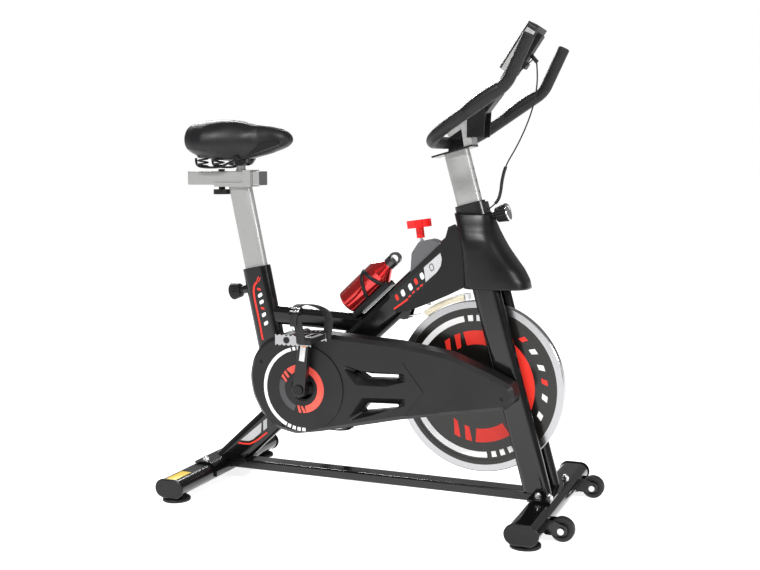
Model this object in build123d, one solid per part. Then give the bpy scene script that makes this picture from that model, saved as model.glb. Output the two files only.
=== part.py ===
from build123d import *
import os
from math import atan2, cos, hypot, pi, radians, sin, tan

# Indoor spin bike. Millimetres. X forward, Y to the rider's left, Z up.
# The origin is on the floor, at the middle of the bike's box.

# ---------------------------------------------------------------- driving sizes
GAP = 0.1                 # air between fixed neighbours
FREE = 0.5                # air between pieces that move past each other

TUBE_DEEP = 68            # main beam, flat-oval section
TUBE_WIDE = 40
WALL = 2.5

BEAM_SLOPE = 42.68        # degrees above the floor
BEAM_Z0 = 430.1           # height of the beam's centre line at x = 0

HEAD_TILT = 15.2          # fork and handlebar post lean back by this
HEAD_TOP = (220, 700)     # top of the head tube, on its centre line
HEAD_LONG = 180
HEAD_DEEP = 72

SEAT_TILT = 11.8
SEAT_TOP = (-329, 538)    # top of the seat tube, on its centre line
SEAT_DEEP = 73

POST_DEEP = 60
POST_WIDE = 28

LEG_DEEP = 62
LEG_WIDE = 30
LEG_Y = 39                # middle of each fork leg

STAB_DEEP = 70            # stabiliser tubes
STAB_HIGH = 41
STAB_Z = 34.6
REAR_X = -440.3
REAR_LONG = 480
FRONT_X = 413.2
FRONT_LONG = 507
CAP_THICK = 6.5

BB = (-146, 274)          # crank axis
CRANK_LONG = 133
CRANK_LEAN = 7.5          # degrees forward of straight up
HUB = (246, 285)          # flywheel axis
FLYWHEEL_R = 198
FLYWHEEL_THICK = 22
AXLE_R = 10

PULLEY_Y = -88            # middle of the belt line
DRIVE_R = 80
DRIVEN_R = 30
BELT_WIDE = 14
BELT_THICK = 4

COVER_BACK = -66          # chain guard: inner face, joint line and outer face
COVER_JOINT = -72
COVER_FACE = -120
COVER_WALL = 2.5

PEDAL_Y = 196             # middle of each pedal
PEDAL_WIDE = 84
PEDAL_AHEAD = 60
PEDAL_BEHIND = 28
PEDAL_HIGH = 24

WHEEL_X = 478.5
WHEEL_Z = 27
WHEEL_R = 26
WHEEL_Y = 163

FOOT_R = 33
FOOT_SPOTS = {
    "rear_right": (REAR_X, -211),
    "rear_left": (REAR_X, 211),
    "front_right": (FRONT_X, -220),
    "front_left": (FRONT_X, 220),
}

RAIL_Z = (741.5, 775.5)   # seat slider
RAIL_X = (-505, -327)
RAIL_WIDE = 40
KNOB_X = -423
CLAMP = (-358, 806)       # saddle clamp axis

BAR_SLOPE = 32.9          # handlebar plane above the floor
BAR_START = (166, 839)    # middle of the bar's closed end
BAR_Y = 160
BAR_R = 11
GRIP_R = 13.5
BAR_CORNER = 70
BAR_BEND = (347, 956)
BAR_TIP = (393, 1053)

ROD_TOP = (96, 664)       # resistance knob, centre of its top
ROD_TIP = (121.9, 466.5)
PAD_R = (200, 213)        # felt pad, inner and outer radius about the flywheel axis
PAD_ANGLE = (100, 129)    # degrees above the forward direction
BRAKE_PIVOT = (66, 441)

BOTTLE_BASE = (-82, 462)
BOTTLE_R = 31.5
BOTTLE_BODY = 114
BOTTLE_ALL = 178


# ---------------------------------------------------------------- small helpers
def direction(tilt_back):
    """Side-view direction that points up and leans back by an angle."""
    return (-sin(radians(tilt_back)), cos(radians(tilt_back)))


HEAD_DIR = direction(HEAD_TILT)
SEAT_DIR = direction(SEAT_TILT)
BEAM_DIR = direction(BEAM_SLOPE - 90)
BAR_DIR = direction(BAR_SLOPE - 90)


def step(start, way, amount, across=0):
    """Side-view point moved along a direction, and across it (towards the front)."""
    x = start[0] + way[0] * amount + way[1] * across
    z = start[1] + way[1] * amount - way[0] * across
    return (x, z)


def axis_plane(point, way, y=0):
    """Work plane whose Z runs along a side-view direction and whose Y is the bike's Y."""
    return Plane(
        origin=(point[0], y, point[1]),
        x_dir=(way[1], 0, -way[0]),
        z_dir=(way[0], 0, way[1]),
    )


def oval_bar(point, way, length, deep, wide, y=0):
    """Solid flat-oval bar from a side-view point along a direction."""
    return extrude(axis_plane(point, way, y) * SlotOverall(deep, wide), amount=length)


def oval_tube(point, way, length, deep, wide, wall, y=0):
    """Hollow flat-oval tube."""
    inner = oval_bar(point, way, length, deep - 2 * wall, wide - 2 * wall, y)
    return oval_bar(point, way, length, deep, wide, y) - inner


def side_face(points, radius=0):
    """Closed side-view outline; radius is one value or one for each corner."""
    if radius == 0:
        return make_face(Polyline(*points, close=True))
    return make_face(FilletPolyline(*points, radius=radius, close=True))


def slab(face, y_low, y_high):
    """Side-view face given thickness between two Y values."""
    return extrude(Plane.XZ.offset(-y_high) * face, amount=y_high - y_low)


def cylinder_y(point, radius, y_low, y_high):
    """Cylinder along Y, at a side-view point."""
    return slab(Pos(point[0], point[1]) * Circle(radius), y_low, y_high)


def cylinder_z(x, y, radius, z_low, z_high):
    """Upright cylinder."""
    return extrude(Plane.XY.offset(z_low) * Pos(x, y) * Circle(radius), amount=z_high - z_low)


def rod_along(point, way, start, end, radius, y=0):
    """Round rod along a side-view direction, between two distances from a point."""
    return extrude(axis_plane(step(point, way, start), way, y) * Circle(radius), amount=end - start)


def block(x, y, z):
    """Box from three pairs of limits."""
    box = Box(x[1] - x[0], y[1] - y[0], z[1] - z[0])
    return Pos((x[0] + x[1]) / 2, (y[0] + y[1]) / 2, (z[0] + z[1]) / 2) * box


def beam_point(x):
    """Point of the beam's centre line."""
    return (x, BEAM_Z0 + x * tan(radians(BEAM_SLOPE)))


def both_sides(shape):
    """The shape and its mirror image across the bike's middle plane."""
    return [shape, mirror(shape, about=Plane.XZ)]


def polar(centre, radius, angle):
    """Side-view point at a radius and an angle above the forward direction."""
    return (centre[0] + radius * cos(radians(angle)), centre[1] + radius * sin(radians(angle)))


def group(shapes):
    """One node made of separate solids."""
    solids = []
    for shape in shapes:
        solids.extend(shape.solids())
    return Compound(children=solids)


# ---------------------------------------------------------------- frame
FOOT_PLATE_Z = (55.6, 60.6)


def beam_outer():
    start = beam_point(-470)
    length = 700 / BEAM_DIR[0]
    return oval_bar(start, BEAM_DIR, length, TUBE_DEEP, TUBE_WIDE)


def shell_outer():
    return cylinder_y(BB, 24, -44, 44)


def main_beam():
    """Long oval beam from the rear foot to the head tube, and all that is welded to it."""
    start = beam_point(-470)
    length = 700 / BEAM_DIR[0]
    beam = oval_tube(start, BEAM_DIR, length, TUBE_DEEP, TUBE_WIDE, WALL)
    floor_cut = block((-700, -300), (-60, 60), (-200, FOOT_PLATE_Z[1]))
    top_cut = axis_plane(step(HEAD_TOP, HEAD_DIR, -400), HEAD_DIR) * SlotOverall(HEAD_DEEP + 2 * GAP, TUBE_WIDE + 2 * GAP)
    beam = beam - floor_cut - extrude(top_cut, amount=700)
    beam = max(beam.solids(), key=lambda s: s.volume)
    beam = beam - cylinder_y(BB, 22, -60, 60)
    beam = beam - rod_along(ROD_TOP, rod_way(), -300, 300, 7)
    return beam + rear_foot_plate() + bottom_bracket() + brake_hinge()


def rear_foot_plate():
    """Plate that wraps the top and front of the rear stabiliser, under the beam."""
    top = block((-462, -352), (-30, 30), FOOT_PLATE_Z)
    centre = (REAR_X + STAB_DEEP / 2 - STAB_HIGH / 2, STAB_Z)
    outer = cylinder_y(centre, STAB_HIGH / 2 + 5.6, -92, 92)
    inner = cylinder_y(centre, STAB_HIGH / 2 + GAP, -93, 93)
    quarter = block((centre[0], -380), (-92, 92), (26, 70))
    wrap = (outer - inner) & quarter
    flat = block((-462, centre[0]), (-92, 92), (STAB_Z + STAB_HIGH / 2 + GAP, STAB_Z + STAB_HIGH / 2 + 5.6))
    plate = top + wrap + flat - block((-406, -340), (-23.1, 23.1), (33, FOOT_PLATE_Z[0]))
    for y in (-80, 80):
        plate = plate - cylinder_z(REAR_X + 3, y, 5, 40, 70)
    return plate


def seat_tube():
    """Leaning oval tube for the seat post, mitred onto the beam."""
    foot = step(SEAT_TOP, SEAT_DIR, -380)
    tube = oval_tube(foot, SEAT_DIR, 380, SEAT_DEEP, TUBE_WIDE, WALL)
    tube = tube - beam_outer()
    tube = max(tube.solids(), key=lambda s: s.center().Z)
    pin = axis_plane(step(SEAT_TOP, SEAT_DIR, -46), (-SEAT_DIR[1], SEAT_DIR[0]))
    nut = extrude(pin * Circle(11), amount=SEAT_DEEP / 2 + 8)
    nut = nut - oval_bar(foot, SEAT_DIR, 380, SEAT_DEEP - 1, TUBE_WIDE - 1)
    hole = extrude(pin * Circle(4.6), amount=SEAT_DEEP / 2 + 20)
    return tube + nut - hole


BRACE_START = (-330, 427)
BRACE_DIR = direction(-92.3)


def brace_tube():
    """Short level tube between the seat tube and the beam."""
    tube = oval_tube(BRACE_START, BRACE_DIR, 340, 46, 30, 2)
    seat = oval_bar(step(SEAT_TOP, SEAT_DIR, -400), SEAT_DIR, 500, SEAT_DEEP, TUBE_WIDE)
    tube = tube - seat - beam_outer()
    return max(tube.solids(), key=lambda s: s.volume)


def head_tube():
    """Sleeve for the handlebar post, with the plates that join it to the fork legs."""
    foot = step(HEAD_TOP, HEAD_DIR, -HEAD_LONG)
    tube = oval_bar(foot, HEAD_DIR, HEAD_LONG, HEAD_DEEP, TUBE_WIDE)
    crown_foot = step(HEAD_TOP, HEAD_DIR, -HEAD_LONG)
    crown = extrude(axis_plane(crown_foot, HEAD_DIR) * Rectangle(44, 2 * (LEG_Y - LEG_WIDE / 2) - GAP), amount=62)
    tube = tube + crown
    tube = tube - oval_bar(foot, HEAD_DIR, HEAD_LONG, HEAD_DEEP - 2 * WALL, TUBE_WIDE - 2 * WALL)
    forward = (HEAD_DIR[1], -HEAD_DIR[0])
    spot = step(HEAD_TOP, HEAD_DIR, -38)
    nut = extrude(axis_plane(spot, forward) * Circle(11), amount=HEAD_DEEP / 2 + 8)
    boss = extrude(axis_plane(step(HEAD_TOP, HEAD_DIR, -22), forward) * Rectangle(40, 24), amount=HEAD_DEEP / 2 + 3.5)
    keep_out = oval_bar(foot, HEAD_DIR, HEAD_LONG, HEAD_DEEP - 1, TUBE_WIDE - 1)
    hole = extrude(axis_plane(spot, forward) * Circle(4.6), amount=HEAD_DEEP / 2 + 20)
    return tube + (nut - keep_out) + (boss - keep_out) - hole


def fork():
    """Two oval legs, the plate they stand on, and the flywheel's axle housings."""
    base = block((384, 436), (-98, 98), FOOT_PLATE_Z)
    base = base + block((362, 386), (-56, 56), FOOT_PLATE_Z)
    legs = None
    reach = (HEAD_TOP[1] - FOOT_PLATE_Z[1]) / HEAD_DIR[1]
    for y in (-LEG_Y, LEG_Y):
        foot = step(HEAD_TOP, HEAD_DIR, -reach - 40)
        leg = oval_tube(foot, HEAD_DIR, reach + 40 - 112, LEG_DEEP, LEG_WIDE, 2.5, y)
        leg = leg - block((300, 500), (-100, 100), (-50, FOOT_PLATE_Z[0]))
        lugs = slab(side_face([(232, 262), (320, 240), (306, 318), (238, 308)], 8), y - 4, y + 4)
        filled = oval_bar(foot, HEAD_DIR, reach, LEG_DEEP, LEG_WIDE, y)
        lugs = lugs - filled + cylinder_y(HUB, 26, y - 13, y + 13)
        leg = leg + lugs
        legs = leg if legs is None else legs + leg
    whole = base + legs
    whole = whole - cylinder_y(HUB, 21 + GAP, -60, 60)
    for x in (404, 430):
        for y in (-80, 80):
            whole = whole - cylinder_z(x, y, 4.2, 50, 70)
    return whole


def bottom_bar():
    """Flat rectangular tube along the floor, between the two stabilisers."""
    x = (REAR_X + STAB_DEEP / 2 + GAP, FRONT_X - STAB_DEEP / 2 - GAP)
    outer = Plane.YZ.offset(x[0]) * Pos(0, 44.5) * RectangleRounded(46, 22, 4)
    inner = Plane.YZ.offset(x[0]) * Pos(0, 44.5) * RectangleRounded(42, 18, 2)
    return extrude(outer, amount=x[1] - x[0]) - extrude(inner, amount=x[1] - x[0])


def bottom_bracket():
    """Shell for the crank bearings, across the beam."""
    return shell_outer() - cylinder_y(BB, 20, -50, 50)


def bearings():
    """Ball races: two in the bottom bracket, two in the flywheel housings."""
    rings = []
    for low, high in ((-43, -29), (29, 43)):
        rings.append(cylinder_y(BB, 20 - GAP, low, high) - cylinder_y(BB, 9 + 0.05, low, high))
    for middle in (-LEG_Y, LEG_Y):
        low = middle - 7
        high = middle + 7
        rings.append(cylinder_y(HUB, 21, low, high) - cylinder_y(HUB, AXLE_R + 0.05, low, high))
    return group(rings)


def stabiliser(x, length, foot_y, bolts):
    """Flat-oval floor tube along Y, with holes for its feet and bolts."""
    half = length / 2
    section = Pos(x, STAB_Z) * SlotOverall(STAB_DEEP, STAB_HIGH)
    hollow = Pos(x, STAB_Z) * SlotOverall(STAB_DEEP - 5, STAB_HIGH - 5)
    tube = slab(section, -half, half) - slab(hollow, -half, half)
    for y in (-foot_y, foot_y):
        nut = cylinder_z(x, y, 9, 16.4, 26)
        tube = tube + nut - cylinder_z(x, y, 5.06, 10, 30)
    for bolt_x, y in bolts:
        tube = tube - cylinder_z(bolt_x, y, 4.2, 50, 60)
    return tube


def rear_stabiliser():
    bolts = [(REAR_X + 3, -80), (REAR_X + 3, 80)]
    return stabiliser(REAR_X, REAR_LONG, 211, bolts)


def wheel_bracket(y):
    """Fork of two ears for a transport wheel, on the front of the stabiliser."""
    ear_shape = side_face([(442, 46), (442, 16), (470, 15), (492, 20), (492, 36), (462, 47)], 5)
    ears = slab(ear_shape, y - 16, y - 13) + slab(ear_shape, y + 13, y + 16)
    ears = ears + block((442, 451), (y - 16, y + 16), (20, 46))
    ears = ears - cylinder_y((WHEEL_X, WHEEL_Z), 4.05, y - 20, y + 20)
    hollow = slab(Pos(FRONT_X, STAB_Z) * SlotOverall(STAB_DEEP - 5, STAB_HIGH - 5), y - 30, y + 30)
    return ears - hollow


def front_stabiliser():
    bolts = []
    for x in (404, 430):
        bolts += [(x, -80), (x, 80)]
    tube = stabiliser(FRONT_X, FRONT_LONG, 220, bolts)
    for y in (-WHEEL_Y, WHEEL_Y):
        tube = tube + wheel_bracket(y)
    return tube


def end_caps():
    """Plastic caps in the four stabiliser ends."""
    caps = []
    for x, length in ((REAR_X, REAR_LONG), (FRONT_X, FRONT_LONG)):
        half = length / 2
        flange = slab(Pos(x, STAB_Z) * SlotOverall(75, 45), -half - CAP_THICK, -half - GAP)
        flange = chamfer(flange.edges().group_by(Axis.Y)[0], 2)
        plug = slab(Pos(x, STAB_Z) * SlotOverall(STAB_DEEP - 5.4, STAB_HIGH - 5.4), -half - GAP, -half + 14)
        hollow = slab(Pos(x, STAB_Z) * SlotOverall(STAB_DEEP - 11, STAB_HIGH - 11), -half, -half + 14)
        caps += both_sides(flange + plug - hollow)
    return group(caps)


def acorn_bolt(x, y, z):
    """Carriage bolt under an acorn nut, with its washer; z is the plate's top."""
    shank = cylinder_z(x, y, 4, z - 20, z + 7)
    washer = cylinder_z(x, y, 8, z, z + 1.6)
    nut = extrude(Plane.XY.offset(z + 1.6) * Pos(x, y) * RegularPolygon(7.5, 6), amount=6.5)
    dome = Pos(x, y, z + 8) * Sphere(5.6) & cylinder_z(x, y, 7, z + 8, z + 15)
    return shank + washer + nut + dome


def frame_fasteners():
    """Stabiliser bolts, wheel axle bolts, guard screws and bottle cage screws."""
    parts = []
    top = FOOT_PLATE_Z[1] + 0.6
    for y in (-80, 80):
        parts.append(acorn_bolt(REAR_X + 3, y, top))
        parts.append(acorn_bolt(404, y, top))
        parts.append(acorn_bolt(430, y, top))
    for side in (-1, 1):
        axle = cylinder_y((WHEEL_X, WHEEL_Z), 4, side * WHEEL_Y - 20, side * WHEEL_Y + 20)
        heads = None
        for low, high in ((-21, -16.1), (16.1, 21)):
            head = cylinder_y((WHEEL_X, WHEEL_Z), 7, side * WHEEL_Y + low, side * WHEEL_Y + high)
            heads = head if heads is None else heads + head
        parts.append(axle + heads)
    for point in COVER_SCREWS:
        parts.append(cylinder_y(point, 2, COVER_FACE + 6, COVER_BACK + 2) + cylinder_y(point, 4, COVER_FACE + 3, COVER_FACE + 6))
    return group(parts)


# ---------------------------------------------------------------- chain guard
COVER_OUTLINE = [
    (-291, 292), (-281, 338), (-252, 378), (-202, 400), (-120, 405), (86, 392), (208, 374), (302, 337),
    (352, 314), (359, 284), (338, 259), (181, 233), (92, 217), (-108, 172), (-172, 161),
    (-222, 171), (-260, 203), (-283, 246),
]
COVER_CORNERS = [90, 80, 80, 80, 200, 200, 120, 40, 18, 14, 16, 120, 120, 120, 60, 55, 70, 90]
UPPER_SLOT = [(-31, 323), (18, 316), (94, 318), (78, 305), (4, 302)]
LOWER_SLOT = [(-13, 222), (9, 247), (88, 250), (76, 237)]
UPPER_POCKET = [(-52, 338), (0, 324), (104, 324), (108, 306), (60, 292), (-14, 290)]
LOWER_POCKET = [(-38, 203), (2, 262), (108, 268), (108, 252), (30, 224)]
CHEVRON = [(98, 352), (176, 337), (226, 283), (186, 240), (104, 226), (150, 285)]
COVER_SCREWS = [(332, 285), (-255, 330), (-200, 180)]
AXLE_POCKET = 46


def cover_face(shrink=0):
    """Outline of the chain guard, inset by a distance."""
    face = side_face(COVER_OUTLINE, COVER_CORNERS)
    if shrink:
        return offset(face, amount=-shrink)
    return face


def slot_walls(points, y_low, y_high):
    """Wall around a slot, between two Y values."""
    hole = side_face(points, 4)
    return slab(offset(hole, amount=COVER_WALL), y_low, y_high)


def chain_cover_outer():
    """Outer half of the chain guard: a shell with two slots, pockets and a round panel."""
    shell = slab(cover_face(), COVER_FACE, COVER_JOINT)
    shell = chamfer(shell.edges().group_by(Axis.Y)[0], 9)
    hollow = slab(cover_face(COVER_WALL), COVER_FACE + 12, COVER_JOINT)
    hollow = hollow + slab(cover_face(13), COVER_FACE + 3.5, COVER_FACE + 13)
    shell = shell - hollow
    panel = cylinder_y(BB, 101, COVER_FACE - 3, COVER_FACE + 1) - cylinder_y(BB, 30, COVER_FACE - 10, COVER_FACE + 2)
    shell = shell + panel
    for slot, pocket in ((UPPER_SLOT, UPPER_POCKET), (LOWER_SLOT, LOWER_POCKET)):
        wide = Plane.XZ.offset(-COVER_FACE) * side_face(pocket, 5)
        narrow = Plane.XZ.offset(-COVER_FACE - 20) * side_face(slot_like(slot, pocket), 3)
        funnel = loft([wide.face(), narrow.face()])
        walls_wide = Plane.XZ.offset(-COVER_FACE - 1) * side_face(grown(pocket, 3), 6)
        walls_narrow = Plane.XZ.offset(-COVER_FACE - 20) * side_face(grown(slot_like(slot, pocket), 3), 4)
        shell = shell + loft([walls_wide.face(), walls_narrow.face()]) + slot_walls(slot, COVER_FACE + 20, COVER_JOINT)
        shell = shell - funnel - slab(side_face(slot, 3), COVER_FACE + 15, COVER_JOINT + 5)
    shell = shell - slab(side_face(CHEVRON, 3), COVER_FACE - 1, COVER_FACE + 1.5)
    shell = shell - cylinder_y(BB, 27, -140, -60)
    for point in COVER_SCREWS:
        post = cylinder_y(point, 7, COVER_FACE + 3, COVER_JOINT)
        shell = shell + (post & slab(cover_face(1), COVER_FACE + 3, COVER_JOINT))
        shell = shell - cylinder_y(point, 2.2, -140, -60) - cylinder_y(point, 4.3, COVER_FACE - 1, COVER_FACE + 6.2)
    return shell


def slot_like(slot, pocket):
    """The slot's outline with as many points as the pocket's."""
    points = list(slot)
    while len(points) < len(pocket):
        last = points[-1]
        first = points[0]
        points.append(((last[0] + first[0]) / 2, (last[1] + first[1]) / 2 - 3))
    return points


def grown(points, amount):
    """Outline moved outwards from its middle."""
    mid_x = sum(p[0] for p in points) / len(points)
    mid_z = sum(p[1] for p in points) / len(points)
    moved = []
    for x, z in points:
        reach = hypot(x - mid_x, z - mid_z)
        scale = (reach + amount * 1.3) / reach
        moved.append((mid_x + (x - mid_x) * scale, mid_z + (z - mid_z) * scale))
    return moved


def chain_cover_inner():
    """Inner half of the chain guard: a plate with a rim, clear of the axles."""
    plate = slab(cover_face(), COVER_JOINT + GAP, COVER_BACK) - slab(cover_face(4), COVER_JOINT, COVER_BACK - 3)
    plate = plate - cylinder_y(BB, 27, -100, -40) - cylinder_y(HUB, AXLE_POCKET / 2, -100, -40)
    for slot in (UPPER_SLOT, LOWER_SLOT):
        plate = plate - slab(side_face(slot, 3), -100, -40)
    for point in COVER_SCREWS:
        plate = plate - cylinder_y(point, 2.2, -100, -40)
    return plate


# ---------------------------------------------------------------- drive
def crank_way(side):
    """Side-view direction of a crank arm: the right one is up, the left one down."""
    way = direction(-CRANK_LEAN)
    return way if side < 0 else (-way[0], -way[1])


def crank_spindle():
    """Crank axle with its shoulders and end bolts."""
    shaft = cylinder_y(BB, 9, -128, 128)
    shaft = shaft + cylinder_y(BB, 12, -64, -46) + cylinder_y(BB, 12, 46, 60)
    ends = cylinder_y(BB, 6.5, -150, 150)
    heads = cylinder_y(BB, 9, -153, -149.1) + cylinder_y(BB, 9, 149.1, 153)
    return shaft + ends + heads


def crank_arm(side):
    """Tapered arm with round ends; side is -1 for the right one."""
    way = crank_way(side)
    end = step(BB, way, CRANK_LONG)
    taper = side_face([
        step(BB, way, 0, -16), step(BB, way, 0, 16),
        step(BB, way, CRANK_LONG, 11.5), step(BB, way, CRANK_LONG, -11.5),
    ])
    near, far = (-149, -133) if side < 0 else (133, 149)
    arm = slab(taper, near, far) + cylinder_y(BB, 17, near, far) + cylinder_y(end, 12.5, near, far)
    arm = chamfer(arm.edges().filter_by(GeomType.LINE, reverse=False).group_by(Axis.Y)[0 if side < 0 else -1], 1.5)
    hub = cylinder_y(BB, 18, -133, -127.9) if side < 0 else cylinder_y(BB, 18, 118, 133)
    arm = arm + hub
    arm = arm - cylinder_y(BB, 9.05, -128, 128) - cylinder_y(BB, 6.6, -160, 160)
    return arm - cylinder_y(end, 6.1, -160, 160)


def crank_arms():
    return group([crank_arm(-1), crank_arm(1)])


def pulley(point, radius, bore, y_mid, spokes):
    """Grooved belt pulley with a thin web and lightening holes."""
    half = BELT_WIDE / 2 + 2
    wheel = cylinder_y(point, radius, y_mid - half, y_mid + half)
    for rib in range(5):
        y = y_mid - 5 + rib * 2.5
        ring = cylinder_y(point, radius + 1, y - 0.5, y + 0.5) - cylinder_y(point, radius - 1.2, y - 0.5, y + 0.5)
        wheel = wheel - ring
    if spokes:
        well = cylinder_y(point, radius - 9, y_mid + 3, y_mid + half) - cylinder_y(point, 20, y_mid + 2, y_mid + half)
        wheel = wheel - well - mirror(well, about=Plane.XZ.offset(-y_mid))
        for index in range(spokes):
            wheel = wheel - cylinder_y(polar(point, radius * 0.6, index * 360 / spokes), radius * 0.16, -200, 0)
    return wheel - cylinder_y(point, bore + GAP, -200, 0)


def drive_pulley():
    return pulley(BB, DRIVE_R, 9, PULLEY_Y, 6)


def driven_pulley():
    return pulley(HUB, DRIVEN_R, AXLE_R, PULLEY_Y, 0)


def belt_loop(grow):
    """Side-view outline of a loop round both pulleys."""
    span = hypot(HUB[0] - BB[0], HUB[1] - BB[1])
    tilt = atan2(HUB[1] - BB[1], HUB[0] - BB[0])
    swing = (DRIVE_R - DRIVEN_R) / span
    corners = []
    for point, radius in ((BB, DRIVE_R + grow), (HUB, DRIVEN_R + grow)):
        for sign in (1, -1):
            angle = tilt + sign * (pi / 2 - swing)
            corners.append((point[0] + radius * cos(angle), point[1] + radius * sin(angle)))
    band = side_face([corners[0], corners[2], corners[3], corners[1]])
    big = Pos(BB[0], BB[1]) * Circle(DRIVE_R + grow)
    small = Pos(HUB[0], HUB[1]) * Circle(DRIVEN_R + grow)
    return band + big + small


def drive_belt():
    """Ribbed belt, shown as a smooth loop just off both pulleys."""
    low = PULLEY_Y - BELT_WIDE / 2
    high = PULLEY_Y + BELT_WIDE / 2
    return slab(belt_loop(0.4 + BELT_THICK), low, high) - slab(belt_loop(0.4), low, high)


def pedal_axles():
    """Threaded pedal axles, one in each crank arm."""
    axles = []
    for side in (-1, 1):
        end = step(BB, crank_way(side), CRANK_LONG)
        low, high = sorted((side * 134, side * (PEDAL_Y + PEDAL_WIDE / 2 - 6)))
        collar = sorted((side * 149.2, side * 152.5))
        axles.append(cylinder_y(end, 6, low, high) + cylinder_y(end, 9, collar[0], collar[1]))
    return group(axles)


def pedal(side):
    """Pedal: barrel, two toothed side plates and cross bars; the left one hangs flipped."""
    end = step(BB, crank_way(side), CRANK_LONG)
    flip = 1 if side < 0 else -1
    low, high = sorted((side * (PEDAL_Y - PEDAL_WIDE / 2), side * (PEDAL_Y + PEDAL_WIDE / 2)))
    body = cylinder_y(end, 12, low + 1, high - 1)
    x = sorted((end[0] - flip * PEDAL_BEHIND, end[0] + flip * PEDAL_AHEAD))
    z = (end[1] - PEDAL_HIGH / 2, end[1] + PEDAL_HIGH / 2)
    body = body + block((x[0] + 2, x[1] - 2), (low + 3, high - 3), (end[1] - 6, end[1] + 6))
    for hole in range(2):
        middle = end[0] + flip * (22 + hole * 19)
        body = body - block((middle - 6, middle + 6), (low + 12, high - 12), (z[0] - 1, z[1] + 1))
    for y in ((low, low + 3), (high - 3, high)):
        body = body + block(x, y, z)
        for tooth in range(8):
            notch = x[0] + (tooth + 0.5) * (x[1] - x[0]) / 8
            body = body - cylinder_y((notch, z[1] + 1), 3.4, y[0] - 1, y[1] + 1)
            body = body - cylinder_y((notch, z[0] - 1), 3.4, y[0] - 1, y[1] + 1)
    bore = (low - 1, high - 5.5) if side > 0 else (low + 5.5, high + 1)
    return body - cylinder_y(end, 6.05, bore[0], bore[1])


def pedal_strap(side):
    """Toe strap: a band arched over the pedal's front half."""
    end = step(BB, crank_way(side), CRANK_LONG)
    flip = 1 if side < 0 else -1
    half = PEDAL_WIDE / 2 + 0.2
    plane = Plane(origin=(end[0] + flip * 53 - 12, side * PEDAL_Y, end[1]), x_dir=(0, 1, 0), z_dir=(1, 0, 0))
    arch = [
        (-half, -6), (-half - 2.5, -6), (-half - 2.5, 34), (-26, 74), (0, 80), (26, 74), (half + 2.5, 34),
        (half + 2.5, -6), (half, -6), (half, 33), (25, 71.5), (0, 77), (-25, 71.5), (-half, 33),
    ]
    corners = [0, 0, 12, 14, 60, 14, 12, 0, 0, 10, 12, 57, 12, 10]
    if flip < 0:
        arch = [(y, -z) for y, z in arch]
    band = make_face(FilletPolyline(*arch, radius=corners, close=True))
    return extrude(plane * band, amount=24)


# ---------------------------------------------------------------- flywheel
def flywheel():
    """Cast flywheel: heavy rim, thinner web with a hub boss."""
    half = FLYWHEEL_THICK / 2
    wheel = cylinder_y(HUB, FLYWHEEL_R, -half, half)
    wheel = chamfer(wheel.edges(), 1.5)
    well = cylinder_y(HUB, 172, half - 1.2, half + 1)
    wheel = wheel - well - mirror(well, about=Plane.XZ)
    wheel = wheel + cylinder_y(HUB, 24, -18, 18)
    return wheel - cylinder_y(HUB, AXLE_R + GAP, -30, 30)


def flywheel_axle():
    """Axle through the flywheel and both housings, with its collars and end nut."""
    shaft = cylinder_y(HUB, AXLE_R, -108, 60)
    shaft = shaft + cylinder_y(HUB, 14, -30.8, -18.2) + cylinder_y(HUB, 14, 18.2, 30.8)
    nuts = None
    for low, high in ((-107, -99.2), (53, 62)):
        hexagon = slab(Pos(HUB[0], HUB[1]) * RegularPolygon(15, 6), low, high)
        nuts = hexagon if nuts is None else nuts + hexagon
    return shaft + nuts


# ---------------------------------------------------------------- head shroud
def shroud_section(z, rear, front, half):
    """Rounded rectangle at one height of the head shroud."""
    radius = min(half, (front - rear) / 2) * 0.35
    return Plane.XY.offset(z) * Pos((rear + front) / 2, 0) * RectangleRounded(front - rear, 2 * half, radius)


SHROUD_LEVELS = [(515, 217, 306, 61), (600, 212, 296, 61), (636, 201, 286, 55), (660, 190, 276, 38), (668, 186, 271, 30)]


def shroud_wings():
    """Side plates that carry the shroud back along the beam, over the flywheel."""
    outline = [
        (192, 657), (176, 650), (168, 622), (30, 492), (48, 448), (78, 453),
        (122, 471), (160, 488), (208, 512), (219, 515), (214, 600), (203, 636),
    ]
    wing = slab(side_face(outline), 21.3, 24.5)
    return wing + mirror(wing, about=Plane.XZ)


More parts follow.
